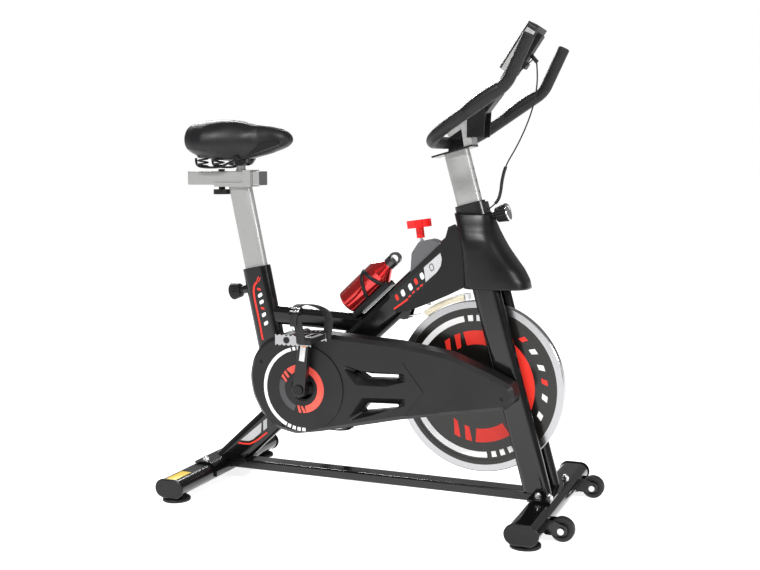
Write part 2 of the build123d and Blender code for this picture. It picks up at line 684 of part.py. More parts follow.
def head_shroud():
    """Moulded hood over the fork crown, with a beak over the flywheel and wings on the beam."""
    outer = loft([shroud_section(*level) for level in SHROUD_LEVELS])
    beak_shape = side_face([(240, 515), (362, 515), (329, 574), (301, 603), (284, 650), (240, 650)], [0, 4, 60, 30, 20, 0])
    beak = slab(beak_shape, -27, 27)
    outer = outer + beak
    inner_levels = []
    for z, rear, front, half in SHROUD_LEVELS:
        inner_levels.append((z - 1 if z == 515 else z, rear + 3, front - 3, half - 3))
    inner = loft([shroud_section(*level) for level in inner_levels])
    beak_inner = side_face([(240, 512), (357, 512), (324, 574), (296, 603), (280, 640), (240, 640)], [0, 4, 60, 30, 20, 0])
    inner = inner + slab(beak_inner, -22.5, 22.5)
    hood = outer - inner + shroud_wings()
    hood = hood - oval_bar(beam_point(-100), BEAM_DIR, 600, TUBE_DEEP + 0.6, TUBE_WIDE + 0.6)
    hood = hood - oval_bar(step(HEAD_TOP, HEAD_DIR, -250), HEAD_DIR, 300, HEAD_DEEP + 0.8, TUBE_WIDE + 0.8)
    forward = (HEAD_DIR[1], -HEAD_DIR[0])
    hood = hood - extrude(axis_plane(step(HEAD_TOP, HEAD_DIR, -38), forward) * Circle(22), amount=80)
    hood = hood - rod_along(ROD_TOP, rod_way(), -300, 300, 8)
    for y in (-LEG_Y, LEG_Y):
        leg = oval_bar(step(HEAD_TOP, HEAD_DIR, -300), HEAD_DIR, 200, LEG_DEEP + 0.8, LEG_WIDE + 0.8, y)
        hood = hood - leg
    above_wheel = cylinder_y(HUB, PAD_R[1] + 6, -21.3, 21.3) & block((40, 216), (-22, 22), (400, 520))
    hood = hood - above_wheel
    return max(hood.solids(), key=lambda s: s.volume)


# ---------------------------------------------------------------- resistance brake
def rod_way():
    """Side-view direction up the brake rod."""
    run = hypot(ROD_TOP[0] - ROD_TIP[0], ROD_TOP[1] - ROD_TIP[1])
    return ((ROD_TOP[0] - ROD_TIP[0]) / run, (ROD_TOP[1] - ROD_TIP[1]) / run)


def tension_cover():
    """Half-round plastic cover on the beam, round the brake rod."""
    hump = [(82, 530), (86, 588), (104, 615), (130, 621), (154, 612), (170, 600)]
    cover = slab(side_face(hump, [0, 14, 16, 20, 14, 0]), -21, 21)
    cover = cover - oval_bar(beam_point(-100), BEAM_DIR, 500, TUBE_DEEP + 0.3, TUBE_WIDE + 4)
    cover = max(cover.solids(), key=lambda s: s.volume)
    return cover - rod_along(ROD_TOP, rod_way(), -300, 20, 8)


def resistance_knob():
    """Lobed red knob with a neck."""
    plane = axis_plane(step(ROD_TOP, rod_way(), -18), rod_way())
    cap = extrude(plane * Circle(28.5), amount=18)
    for lobe in range(8):
        notch = plane * Pos(32 * cos(lobe * pi / 4), 32 * sin(lobe * pi / 4)) * Circle(6.5)
        cap = cap - extrude(notch, amount=18)
    neck = rod_along(ROD_TOP, rod_way(), -42, -18, 9.5)
    return cap + neck - rod_along(ROD_TOP, rod_way(), -43, -8, 4.05)


def brake_rod():
    """Threaded rod from the knob down to the brake arm, with its spring collar."""
    length = hypot(ROD_TOP[0] - ROD_TIP[0], ROD_TOP[1] - ROD_TIP[1])
    shaft = rod_along(ROD_TOP, rod_way(), -length, -8.2, 4)
    collar = rod_along(ROD_TOP, rod_way(), -58, -46, 6)
    return shaft + collar


def arc_band(inner, outer, angles, y_half):
    """Curved strip about the flywheel axis."""
    wide = 60
    ring = cylinder_y(HUB, outer, -y_half, y_half) - cylinder_y(HUB, inner, -y_half - 1, y_half + 1)
    corners = [HUB, polar(HUB, outer + wide, angles[0]), polar(HUB, outer + wide, angles[1])]
    return ring & slab(side_face(corners), -y_half, y_half)


def brake_arm():
    """Steel leaf bolted under the beam, curved over the pad, with a clip at its front end."""
    backing = arc_band(PAD_R[1] + GAP, PAD_R[1] + 2.1, (PAD_ANGLE[0] - 2, PAD_ANGLE[1] + 2.6), 11)
    start = polar(HUB, PAD_R[1] + 1.1, PAD_ANGLE[1] + 2.5)
    pivot = (BRAKE_PIVOT[0], BRAKE_PIVOT[1] - 3)
    run = hypot(start[0] - pivot[0], start[1] - pivot[1])
    way = ((start[0] - pivot[0]) / run, (start[1] - pivot[1]) / run)
    strip = extrude(axis_plane(step(pivot, way, 3), way) * Rectangle(2, 22), amount=run - 3)
    knuckle = cylinder_y(pivot, 4, -11, 11) - cylinder_y(pivot, 2.06, -11, 11)
    clip = arc_band(PAD_R[0] + 1, PAD_R[1] + 2.1, (PAD_ANGLE[0] - 3, PAD_ANGLE[0] - 0.8), 12)
    return backing + (strip - cylinder_y(pivot, 2.06, -12, 12)) + knuckle + clip


def brake_pad():
    """Felt block that drags on the flywheel's rim."""
    return arc_band(PAD_R[0], PAD_R[1], PAD_ANGLE, 10.5)


def brake_hinge():
    """Hinge bracket and pin for the brake arm, under the beam."""
    pivot = (BRAKE_PIVOT[0], BRAKE_PIVOT[1] - 3)
    cheeks = None
    shape = side_face([(52, 434), (64, 431), (76, 434), (84, 462), (70, 462), (48, 444)], 3)
    for low, high in ((-15, -12.2), (12.2, 15)):
        cheek = slab(shape, low, high)
        cheeks = cheek if cheeks is None else cheeks + cheek
    pin = cylinder_y(pivot, 2, -15, 15)
    bracket = cheeks + pin
    return bracket - oval_bar(beam_point(-100), BEAM_DIR, 500, TUBE_DEEP - 1, TUBE_WIDE - 1)


# ---------------------------------------------------------------- bottle
def bottle_cage():
    """Rail on the beam, base stop, back band and two crossed arms."""
    base = step(BOTTLE_BASE, BEAM_DIR, 0)
    rail_start = step(base, BEAM_DIR, -4, BOTTLE_R + FREE + 7.1)
    rail = extrude(axis_plane(rail_start, BEAM_DIR) * Rectangle(14, 22), amount=118)
    ring = extrude(axis_plane(step(base, BEAM_DIR, 52), BEAM_DIR) * (Circle(BOTTLE_R + 4) - Circle(BOTTLE_R + FREE)), amount=12)
    low_ring = extrude(axis_plane(step(base, BEAM_DIR, 2), BEAM_DIR) * (Circle(BOTTLE_R + 4) - Circle(BOTTLE_R + FREE)), amount=9)
    stop = extrude(axis_plane(step(base, BEAM_DIR, -4), BEAM_DIR) * Circle(BOTTLE_R + 4), amount=3.5)
    cage = rail + ring + low_ring + stop
    cage = cage - rod_along(base, BEAM_DIR, 0 - 0.4, 200, BOTTLE_R + FREE)
    cage = cage - oval_bar(BRACE_START, BRACE_DIR, 340, 46.6, 40)
    return cage - oval_bar(beam_point(-200), BEAM_DIR, 600, TUBE_DEEP + 0.2, TUBE_WIDE + 10)


def bottle():
    """Round metal bottle with a sloping shoulder, neck and loop cap, on its own axis."""
    plane = axis_plane(BOTTLE_BASE, BEAM_DIR)
    body = extrude(plane * Circle(BOTTLE_R), amount=BOTTLE_BODY)
    body = fillet(body.edges().group_by(SortBy.LENGTH)[-1].sort_by(lambda e: e.center().Z)[0], 5)
    shoulder_base = axis_plane(step(BOTTLE_BASE, BEAM_DIR, BOTTLE_BODY), BEAM_DIR) * Circle(BOTTLE_R)
    shoulder_top = axis_plane(step(BOTTLE_BASE, BEAM_DIR, BOTTLE_BODY + 24), BEAM_DIR) * Circle(14)
    body = body + loft([shoulder_base.face(), shoulder_top.face()])
    body = body + rod_along(BOTTLE_BASE, BEAM_DIR, BOTTLE_BODY + 20, BOTTLE_ALL - 28, 13)
    cap = rod_along(BOTTLE_BASE, BEAM_DIR, BOTTLE_ALL - 36, BOTTLE_ALL - 22, 15)
    middle = step(BOTTLE_BASE, BEAM_DIR, BOTTLE_ALL - 15)
    loop = cylinder_y(middle, 15, -5, 5) - cylinder_y(middle, 9, -6, 6)
    return body + cap + loop


# ---------------------------------------------------------------- seat
def post_bushings():
    """Plastic sleeves between the frame's sockets and the two posts, with a lip on top."""
    sleeves = []
    for top, way, deep in ((SEAT_TOP, SEAT_DIR, SEAT_DEEP), (HEAD_TOP, HEAD_DIR, HEAD_DEEP)):
        inside = deep - 2 * WALL - 2 * GAP
        sleeve = oval_bar(step(top, way, -110), way, 111, inside, TUBE_WIDE - 2 * WALL - 2 * GAP)
        lip = oval_bar(step(top, way, GAP), way, 3, deep - 1, TUBE_WIDE - 1)
        bore = oval_bar(step(top, way, -120), way, 140, POST_DEEP + 2 * FREE, POST_WIDE + 2 * FREE)
        sleeves.append(sleeve + lip - bore)
    seat_pin = axis_plane(step(SEAT_TOP, SEAT_DIR, -46), (-SEAT_DIR[1], SEAT_DIR[0]))
    head_pin = axis_plane(step(HEAD_TOP, HEAD_DIR, -38), (HEAD_DIR[1], -HEAD_DIR[0]))
    sleeves[0] = sleeves[0] - extrude(seat_pin * Circle(4.6), amount=60)
    sleeves[1] = sleeves[1] - extrude(head_pin * Circle(4.6), amount=60)
    return group(sleeves)


def seat_post():
    """Oval post with its row of holes, and the carrier that holds the slider."""
    start = step(SEAT_TOP, SEAT_DIR, -165)
    post = oval_tube(start, SEAT_DIR, 385, POST_DEEP, POST_WIDE, 2)
    post = post - block((-600, -200), (-60, 60), (738, 900))
    back = (-SEAT_DIR[1], SEAT_DIR[0])
    for index in range(7):
        hole = axis_plane(step(SEAT_TOP, SEAT_DIR, -146 + 25 * index), back)
        post = post - extrude(hole * Circle(4.5), amount=60)
    low = RAIL_Z[0] - 3.6
    half = RAIL_WIDE / 2 + FREE
    floor = block((-432, -331), (-half - 2.5, half + 2.5), (low, low + 3))
    lips = block((-432, -331), (-half - 2.5, half + 2.5), (low, low + 10)) - block((-440, -320), (-half, half), (low + 3, 800))
    collar = block((-352, -331), (-half - 2.5, half + 2.5), (low, RAIL_Z[1] + 3.2))
    collar = collar - block((-360, -320), (-half, half), (low + 3, RAIL_Z[1] + FREE))
    return post + floor + lips + collar - cylinder_z(KNOB_X, 0, 5.6, 700, 800)


def slider_rail():
    """Seat slider: a square tube with end plugs, a clamp slot and the saddle's stub."""
    middle = (RAIL_Z[0] + RAIL_Z[1]) / 2
    high = RAIL_Z[1] - RAIL_Z[0]
    length = RAIL_X[1] - RAIL_X[0]
    outer = Plane.YZ.offset(RAIL_X[0]) * Pos(0, middle) * RectangleRounded(RAIL_WIDE, high, 3)
    inner = Plane.YZ.offset(RAIL_X[0]) * Pos(0, middle) * RectangleRounded(RAIL_WIDE - 4, high - 4, 1.5)
    rail = extrude(outer, amount=length) - extrude(inner, amount=length)
    slot = Plane.XY.offset(735) * Pos(KNOB_X + 14, 0) * SlotOverall(46, 12)
    rail = rail - extrude(slot, amount=60)
    stub = cylinder_z(CLAMP[0] - 10, 0, 11, RAIL_Z[1] - 1, 789)
    flare = Pos(CLAMP[0] - 10, 0, RAIL_Z[1] + 2.5) * Cone(15, 11, 7)
    return group([rail + stub + flare] + rail_plugs())


def rail_plugs():
    """Plastic plugs in both ends of the slider."""
    middle = (RAIL_Z[0] + RAIL_Z[1]) / 2
    high = RAIL_Z[1] - RAIL_Z[0]
    plugs = []
    for start, length, tail in ((RAIL_X[1] + GAP, 20, -14), (RAIL_X[0] - 3, 3 - GAP, 14)):
        head = extrude(Plane.YZ.offset(start) * Pos(0, middle) * RectangleRounded(RAIL_WIDE, high, 3), amount=length)
        x = (start - 13, start) if tail < 0 else (start + length, start + length + 13)
        spigot = block(x, (-RAIL_WIDE / 2 + 2.3, RAIL_WIDE / 2 - 2.3), (RAIL_Z[0] + 2.3, RAIL_Z[1] - 2.3))
        plugs.append(head + spigot)
    return plugs


def slider_knob():
    """Clamp knob under the carrier, with its stud up through the slider."""
    knob = cylinder_z(KNOB_X, 0, 21, 719, 731)
    for lobe in range(12):
        angle = lobe * pi / 6
        knob = knob - cylinder_z(KNOB_X + 22 * cos(angle), 22 * sin(angle), 2.6, 718, 732)
    neck = cylinder_z(KNOB_X, 0, 8, 731, 737.4)
    stud = cylinder_z(KNOB_X, 0, 5, 737.4, 781)
    nut = cylinder_z(KNOB_X, 0, 8, RAIL_Z[1] + 0.5, 781)
    return knob + neck + stud + nut


def ribbed_knob(plane, shaft_from, knob_from, knob_long, pin_r):
    """Pull knob on a pin; the plane's Z points outwards."""
    pin = extrude(plane.offset(shaft_from) * Circle(pin_r), amount=knob_from - shaft_from + 4)
    neck = extrude(plane.offset(knob_from - 9) * Circle(8), amount=10)
    grip = extrude(plane.offset(knob_from) * Circle(14), amount=knob_long, taper=-8)
    for rib in range(12):
        angle = rib * pi / 6
        groove = plane.offset(knob_from - 1) * Pos(18.5 * cos(angle), 18.5 * sin(angle)) * Circle(2.4)
        grip = grip - extrude(groove, amount=knob_long - 6)
    return pin + neck + grip


def seat_post_knob():
    """Pop pin of the seat tube."""
    plane = axis_plane(step(SEAT_TOP, SEAT_DIR, -46), (-SEAT_DIR[1], SEAT_DIR[0]))
    return ribbed_knob(plane, POST_DEEP / 2 + 0.5, SEAT_DEEP / 2 + 18, 26, 4.2)


def head_knob():
    """Pop pin of the head tube."""
    plane = axis_plane(step(HEAD_TOP, HEAD_DIR, -38), (HEAD_DIR[1], -HEAD_DIR[0]))
    return ribbed_knob(plane, POST_DEEP / 2 + 0.5, HEAD_DEEP / 2 + 18, 28, 4.2)


CLAMP_DISC_R = 17


def saddle_clamp():
    """Seat-post head: a collar on the slider's stub, a bridge with inner discs, and the cross bolt."""
    x = CLAMP[0]
    collar = cylinder_z(x - 10, 0, 15, 789.2, 798)
    bridge = block((x - 16, x + 14), (-14, 14), (794, 811))
    whole = collar + bridge + cylinder_y(CLAMP, 4, -44, 44)
    for side in (-1, 1):
        disc = sorted((side * 13, side * 21))
        nut = sorted((side * 38.2, side * 44))
        whole = whole + cylinder_y(CLAMP, CLAMP_DISC_R, disc[0], disc[1]) + cylinder_y(CLAMP, 7, nut[0], nut[1])
    return whole


RAIL_PATH = [(-470, 823), (-440, 804), (-405, 798.5), (-315, 798.5), (-262, 828)]


def saddle_rails():
    """Two steel wires under the saddle, each with the clamp plate that grips it."""
    wires = []
    for side in (-1, 1):
        points = [(x, side * 24.5, z) for x, z in RAIL_PATH]
        wire = round_sweep(FilletPolyline(*points, radius=18), 3.2)
        plate = sorted((side * 27, side * 33))
        boss = sorted((side * 33, side * 38))
        wire = wire + cylinder_y(CLAMP, CLAMP_DISC_R, plate[0], plate[1]) + cylinder_y(CLAMP, 14, boss[0], boss[1])
        wires.append(wire - cylinder_y(CLAMP, 4.06, -60, 60))
    return group(wires)


SADDLE_STATIONS = [
    (-504, 70, 842, 872), (-492, 120, 826, 890), (-462, 176, 817, 897), (-425, 190, 815, 898),
    (-385, 164, 817, 898), (-345, 108, 822, 889), (-305, 72, 826, 883), (-265, 58, 834, 881),
    (-240, 44, 841, 872), (-230, 26, 845, 862),
]


def saddle_loft():
    """Outer shape of the saddle."""
    sections = []
    for x, wide, low, high in SADDLE_STATIONS:
        section = RectangleRounded(wide, high - low, min(wide, high - low) * 0.42)
        sections.append(Plane.YZ.offset(x) * Pos(0, (low + high) / 2) * section)
    return loft(sections)


def saddle_base_block():
    profile = [(-480, 821), (-455, 811), (-410, 811), (-335, 812), (-300, 822), (-250, 838), (-250, 848), (-480, 836)]
    return slab(side_face(profile, 3), -30, 30)


def clamp_room(radius):
    """Space round the saddle clamp."""
    return cylinder_y(CLAMP, radius, -48, 48)


def saddle_base():
    """Stiff plastic pan under the cushion, with a pocket for the clamp."""
    return saddle_base_block() - clamp_room(CLAMP_DISC_R + 2.5)


def saddle_cushion():
    """Padded seat, as a plain rounded solid."""
    return saddle_loft() - offset(saddle_base_block(), amount=0.4) - clamp_room(CLAMP_DISC_R + 3.5)


# ---------------------------------------------------------------- handlebar
POST_REACH = 123          # top of the handlebar post above the head tube
STEM_BAR = [(176, 851), (250, 899), (243, 909), (169, 861)]


def handlebar_post():
    """Oval post with three adjustment holes in its front."""
    start = step(HEAD_TOP, HEAD_DIR, -128)
    post = oval_tube(start, HEAD_DIR, 128 + POST_REACH, POST_DEEP, POST_WIDE, 2)
    forward = (HEAD_DIR[1], -HEAD_DIR[0])
    for index in range(8):
        hole = axis_plane(step(HEAD_TOP, HEAD_DIR, -112 + 27 * index), forward)
        post = post - extrude(hole * Circle(4.5), amount=60)
    return post


def stem():
    """Head plate, gussets, upright and sloping clamp that carry the bar."""
    forward = (HEAD_DIR[1], -HEAD_DIR[0])
    top = step(HEAD_TOP, HEAD_DIR, POST_REACH + 0.2)
    plate_start = step(top, forward, -52)
    plate = extrude(axis_plane(plate_start, forward) * Pos(-2, 0) * Rectangle(4, 56), amount=96)
    upright = side_face([(212, 828), (231, 833), (223, 884), (204, 878)])
    stem_body = plate + slab(upright, -22, 22)
    stem_body = stem_body + slab(side_face(STEM_BAR), -20, 20)
    gusset = side_face([(173, 817), (216, 829), (205, 872), (178, 856)])
    for low, high in ((-18, -14), (14, 18)):
        stem_body = stem_body + slab(gusset, low, high)
    stem_body = stem_body - cylinder_y(BAR_START, GRIP_R + 0.2, -60, 60)
    return stem_body


def bar_path():
    """Centre line of the handlebar, from the right tip round the closed end to the left tip."""
    points = []
    side = [BAR_TIP, BAR_BEND, BAR_START]
    for x, z in side:
        points.append((x, -BAR_Y, z))
    for x, z in reversed(side):
        points.append((x, BAR_Y, z))
    return FilletPolyline(*points, radius=[62, BAR_CORNER, BAR_CORNER, 62])


def round_sweep(path, radius):
    return sweep(Plane(origin=path @ 0, z_dir=path % 0) * Circle(radius), path=path)


def handlebar_tube():
    """Bent steel tube inside the grips."""
    path = bar_path()
    return round_sweep(path, BAR_R) - round_sweep(path, BAR_R - 2)


def foam_grips():
    """Foam sleeve over the whole bar, closed at both tips."""
    path = bar_path()
    sleeve = round_sweep(path, GRIP_R) - round_sweep(path, BAR_R + 0.05)
    return sleeve


def pulse_sensors():
    """Hand-pulse pads: a shell on the inner top of each bar."""
    pads = []
    way = BAR_DIR
    for side in (-1, 1):
        start = step(BAR_START, way, 108)
        outer = extrude(axis_plane(start, way, side * BAR_Y) * Circle(GRIP_R + 5.5), amount=92)
        inner = extrude(axis_plane(start, way, side * BAR_Y) * Circle(GRIP_R + 0.3), amount=92)
        top = extrude(axis_plane(step(start, way, -5), way, side * BAR_Y) * Pos(-20, 0) * Rectangle(30, 60), amount=120)
        pads.append((outer - inner) & top)
    return group(pads)


CONSOLE_FOOT = (296, 1001)
CONSOLE_TILT = -34.0
CONSOLE_LONG = 116
CONSOLE_THICK = 27
CONSOLE_WIDE = 84


def console_case():
    """Display housing with a rounded top, and the cable socket on its back."""
    way = direction(CONSOLE_TILT)
    plane = axis_plane(CONSOLE_FOOT, way)
    body = extrude(plane * Pos(CONSOLE_THICK / 2, 0) * Rectangle(CONSOLE_THICK, CONSOLE_WIDE), amount=CONSOLE_LONG)
    body = fillet(body.edges().filter_by(lambda e: abs(abs(e.center().Y) - CONSOLE_WIDE / 2) < 0.1), 6)
    rib_foot = step(CONSOLE_FOOT, way, 30)
    rib = extrude(axis_plane(rib_foot, way) * Pos(CONSOLE_THICK + 4, 0) * Rectangle(12, 24), amount=74)
    socket = extrude(axis_plane(step(CONSOLE_FOOT, way, 24), way) * Pos(CONSOLE_THICK + 8, 0) * Rectangle(16, 22), amount=14)
    recess = axis_plane(step(CONSOLE_FOOT, way, 12), way) * Pos(0, 0) * Rectangle(3, CONSOLE_WIDE - 16)
    body = body + rib + socket - extrude(recess, amount=CONSOLE_LONG - 24)
    hole = axis_plane(step(CONSOLE_FOOT, way, 26), (-way[1], way[0]))
    return body - extrude(hole.offset(-10) * Circle(6.5), amount=20)


def console_screen():
    """Clear window and display panel."""
    way = direction(CONSOLE_TILT)
    plane = axis_plane(step(CONSOLE_FOOT, way, 40), way)
    return extrude(plane * Pos(0.7, 0) * Rectangle(1.4, CONSOLE_WIDE - 18), amount=CONSOLE_LONG - 54)


def console_button():
    """Round push button below the display."""
    way = direction(CONSOLE_TILT)
    back = (-way[1], way[0])
    plane = axis_plane(step(CONSOLE_FOOT, way, 26), back)
    return extrude(plane.offset(-5) * Circle(6), amount=7)


def console_arm():
    """Bracket from the stem up to the display."""
    points = [(240, 893), (262, 906), (292, 944), (318, 997), (306, 1001), (276, 950), (252, 919), (229, 901)]
    arm = slab(side_face(points, [3, 16, 40, 2, 2, 40, 16, 3]), -16, 16)
    return arm - slab(side_face(STEM_BAR), -21, 21) - console_block()


def console_block():
    way = direction(CONSOLE_TILT)
    return extrude(axis_plane(step(CONSOLE_FOOT, way, -0.2), way) * Pos(CONSOLE_THICK / 2, 0) * Rectangle(CONSOLE_THICK + 0.4, CONSOLE_WIDE), amount=CONSOLE_LONG)


def cord(points, radius):
    """Round cord: straight runs joined by arcs as large as the runs allow."""
    corners = []
    for index in range(1, len(points) - 1):
        before = Vector(*points[index]) - Vector(*points[index - 1])
        after = Vector(*points[index + 1]) - Vector(*points[index])
        turn = radians(before.get_angle(after))
        corners.append(0.45 * min(before.length, after.length) / tan(turn / 2))
    path = FilletPolyline(*points, radius=corners)
    print("cord length", round(path.length, 1), "radii", [round(r) for r in corners])
    return round_sweep(path, radius)


SENSOR_CABLE = [
    (368, 6, 1014), (371, 7, 985), (368, 6, 945), (359, 4, 905), (344, 2, 865), (325, 1, 826),
    (303, 0, 790), (294, 0, 757), (291, 0, 726), (283, 0, 705), (264.5, 0, 691.5),
]
PULSE_LEAD = [
    (362, -8, 1016), (345, -60, 985), (322, -110, 958), (300, -140, 932), (270, -144, 905),
]


def sensor_cable():
    return cord(SENSOR_CABLE, 1.6)


def pulse_lead():
    return cord(PULSE_LEAD, 1.4)


# ---------------------------------------------------------------- rolling and levelling
def transport_wheel(side):
    """Small wheel with a rounded tread."""
    y = side * WHEEL_Y
    wheel = cylinder_y((WHEEL_X, WHEEL_Z), WHEEL_R, y - 11, y + 11)
    wheel = fillet(wheel.edges(), 4)
    for low, high in ((y - 12, y - 8), (y + 8, y + 12)):
        wheel = wheel - (cylinder_y((WHEEL_X, WHEEL_Z), 17, low, high) - cylinder_y((WHEEL_X, WHEEL_Z), 8, low, high))
    return wheel - cylinder_y((WHEEL_X, WHEEL_Z), 4.06, y - 20, y + 20)


def levelling_foot(x, y):
    """Rubber disc on a threaded stud."""
    disc = cylinder_z(x, y, FOOT_R, 0, 7)
    disc = chamfer(disc.edges().group_by(Axis.Z)[-1], 2.5)
    return disc + cylinder_z(x, y, 12, 7, 11) + cylinder_z(x, y, 5, 11, 25)


# ---------------------------------------------------------------- write the parts
def build_parts():
    """Every node by name."""
    parts = {
        "main_beam": main_beam(),
        "seat_tube": seat_tube(),
        "brace_tube": brace_tube(),
        "head_tube": head_tube(),
        "fork": fork(),
        "bottom_bar": bottom_bar(),
        "bearings": bearings(),
        "rear_stabiliser": rear_stabiliser(),
        "front_stabiliser": front_stabiliser(),
        "end_caps": end_caps(),
        "frame_fasteners": frame_fasteners(),
        "chain_cover_outer": chain_cover_outer(),
        "chain_cover_inner": chain_cover_inner(),
        "drive_belt": drive_belt(),
        "head_shroud": head_shroud(),
        "tension_cover": tension_cover(),
        "post_bushings": post_bushings(),
        "bottle_cage": bottle_cage(),
        "bottle": bottle(),
        "crank_spindle": crank_spindle(),
        "crank_arms": crank_arms(),
        "drive_pulley": drive_pulley(),
        "pedal_axles": pedal_axles(),
        "pedal_right": pedal(-1),
        "pedal_left": pedal(1),
        "pedal_strap_right": pedal_strap(-1),
        "pedal_strap_left": pedal_strap(1),
        "flywheel": flywheel(),
        "flywheel_axle": flywheel_axle(),
        "driven_pulley": driven_pulley(),
        "resistance_knob": resistance_knob(),
        "brake_rod": brake_rod(),
        "brake_arm": brake_arm(),
        "brake_pad": brake_pad(),
        "seat_post": seat_post(),
        "seat_post_knob": seat_post_knob(),
        "slider_rail": slider_rail(),
        "slider_knob": slider_knob(),
        "saddle_clamp": saddle_clamp(),
        "saddle_rails": saddle_rails(),
        "saddle_base": saddle_base(),
        "saddle_cushion": saddle_cushion(),
        "handlebar_post": handlebar_post(),
        "head_knob": head_knob(),
        "stem": stem(),
        "handlebar_tube": handlebar_tube(),
        "foam_grips": foam_grips(),
        "pulse_sensors": pulse_sensors(),
        "console_arm": console_arm(),
        "console_case": console_case(),
        "console_screen": console_screen(),
        "console_button": console_button(),
        "sensor_cable": sensor_cable(),
        "pulse_lead": pulse_lead(),
    }
    for side, name in ((-1, "transport_wheel_right"), (1, "transport_wheel_left")):
        parts[name] = transport_wheel(side)
    for name, (x, y) in FOOT_SPOTS.items():
        parts["foot_" + name] = levelling_foot(x, y)
    return parts


os.makedirs("parts", exist_ok=True)
for node, shape in build_parts().items():
    export_step(shape, f"parts/{node}.step")
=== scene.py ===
import bpy
import bmesh
import math
from mathutils import Matrix, Vector


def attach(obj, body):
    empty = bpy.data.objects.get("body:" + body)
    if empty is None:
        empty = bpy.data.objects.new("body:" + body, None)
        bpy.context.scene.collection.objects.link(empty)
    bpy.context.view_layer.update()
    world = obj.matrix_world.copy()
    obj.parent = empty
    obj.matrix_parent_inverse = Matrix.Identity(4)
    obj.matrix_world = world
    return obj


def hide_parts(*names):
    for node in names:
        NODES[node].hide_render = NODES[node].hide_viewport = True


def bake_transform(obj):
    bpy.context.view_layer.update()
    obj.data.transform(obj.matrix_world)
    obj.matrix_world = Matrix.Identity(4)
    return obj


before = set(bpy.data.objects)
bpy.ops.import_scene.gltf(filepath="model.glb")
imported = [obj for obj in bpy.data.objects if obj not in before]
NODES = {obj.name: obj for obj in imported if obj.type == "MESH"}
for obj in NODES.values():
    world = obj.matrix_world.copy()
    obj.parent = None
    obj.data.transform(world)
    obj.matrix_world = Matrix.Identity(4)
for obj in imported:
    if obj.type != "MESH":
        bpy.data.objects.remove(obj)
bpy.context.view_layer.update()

# Places in millimetres, in the bike's own frame: X forward, Y to the rider's left, Z up.
MM = 0.001
BB = (-146, 274)          # crank axis, as (x, z)
HUB = (246, 285)          # flywheel axis
WEB_R = 182               # where the flywheel's bright rim starts
HEAD_TOP = (220, 700)
HEAD_TILT = 15.2
SEAT_TOP = (-329, 538)
SEAT_TILT = 11.8
BEAM_SLOPE = 42.68
WEB_FACE = 9.85           # each face of the flywheel's web
COVER_FACE = -123.05      # the guard's round panel
PEDAL_Y = 196
PEDAL_FACE = 238          # outer side of each pedal
CRANK_LONG = 133
BOTTLE_BASE = (-82, 462)
BOTTLE_R = 31.5
BOTTLE_CAP = 141          # where the black cap starts, from the base
BAR_START = (166, 839)    # middle of the bar's closed end
BAR_BEND = (347, 956)
BAR_TIP = (393, 1053)
BAR_SLOPE = 32.9
BAR_Y = 160
SIDES = ((-1, "right"), (1, "left"))
ACROSS = (0, 1, 0)

SILVER = (0.34, 0.34, 0.335)
SOFT_BLACK = (0.012, 0.012, 0.012)
DEEP_BLACK = (0.006, 0.006, 0.006)


def mm(x, y, z):
    return Vector((x * MM, y * MM, z * MM))


def direction(tilt_back):
    """Side-view direction (x, z) that points up and leans back by an angle."""
    return (-math.sin(math.radians(tilt_back)), math.cos(math.radians(tilt_back)))


HEAD_DIR = direction(HEAD_TILT)
SEAT_DIR = direction(SEAT_TILT)
BEAM_DIR = direction(BEAM_SLOPE - 90)
BAR_DIR = direction(BAR_SLOPE - 90)
CRANK_DIR = direction(-7.5)
HEAD_OUT = (HEAD_DIR[1], -HEAD_DIR[0])


def step(start, way, amount, across=0):
    """Side-view point moved along a direction, and across it (towards the front)."""
    return (start[0] + way[0] * amount + way[1] * across, start[1] + way[1] * amount - way[0] * across)


def polar(centre, radius, angle):
    a = math.radians(angle)
    return (centre[0] + radius * math.cos(a), centre[1] + radius * math.sin(a))


def reach_along(point, way):
    """How far a side-view point lies along a side-view direction."""
    return point[0] * way[0] + point[1] * way[1]


def round_at(k, count):
    """Cosine and sine of one of so many even turns."""
    a = 2 * math.pi * k / count
    return math.cos(a), math.sin(a)


def upright(pair, sign=1):
    """Side-view pair as a place or direction in space."""
    return (pair[0] * sign, 0, pair[1] * sign)


def new_object(name, data):
    made = bpy.data.objects.new(name, data)
    bpy.context.scene.collection.objects.link(made)
    return made


HEAD_PIN = step(HEAD_TOP, HEAD_DIR, -38)    # where each pop pin meets its post
SEAT_PIN = step(SEAT_TOP, SEAT_DIR, -46)


# ---- camera and light
def make_camera():
    yaw, pitch, roll = 0.38631, 0.11299, -0.00417
    eye = mm(968.29, -2383.41, 800.43)
    data = bpy.data.cameras.new("camera")
    data.sensor_width = 36
    data.lens = 52.001
    camera = new_object("camera", data)
    ahead = Vector((-math.sin(yaw) * math.cos(pitch), math.cos(yaw) * math.cos(pitch), -math.sin(pitch)))
    right = Vector((math.cos(yaw), math.sin(yaw), 0))
    up = right.cross(ahead)
    tilted_right = math.cos(roll) * right + math.sin(roll) * up
    tilted_up = -math.sin(roll) * right + math.cos(roll) * up
    turn = Matrix((tilted_right, tilted_up, -ahead)).transposed()
    camera.matrix_world = Matrix.Translation(eye) @ turn.to_4x4()
    bpy.context.scene.camera = camera


def area_light(name, place, target, size, power):
    data = bpy.data.lights.new(name, "AREA")
    data.shape = "RECTANGLE"
    data.size = size
    data.energy = power
    light = new_object(name, data)
    light.location = place
    light.rotation_euler = (Vector(target) - Vector(place)).to_track_quat("-Z", "Y").to_euler()


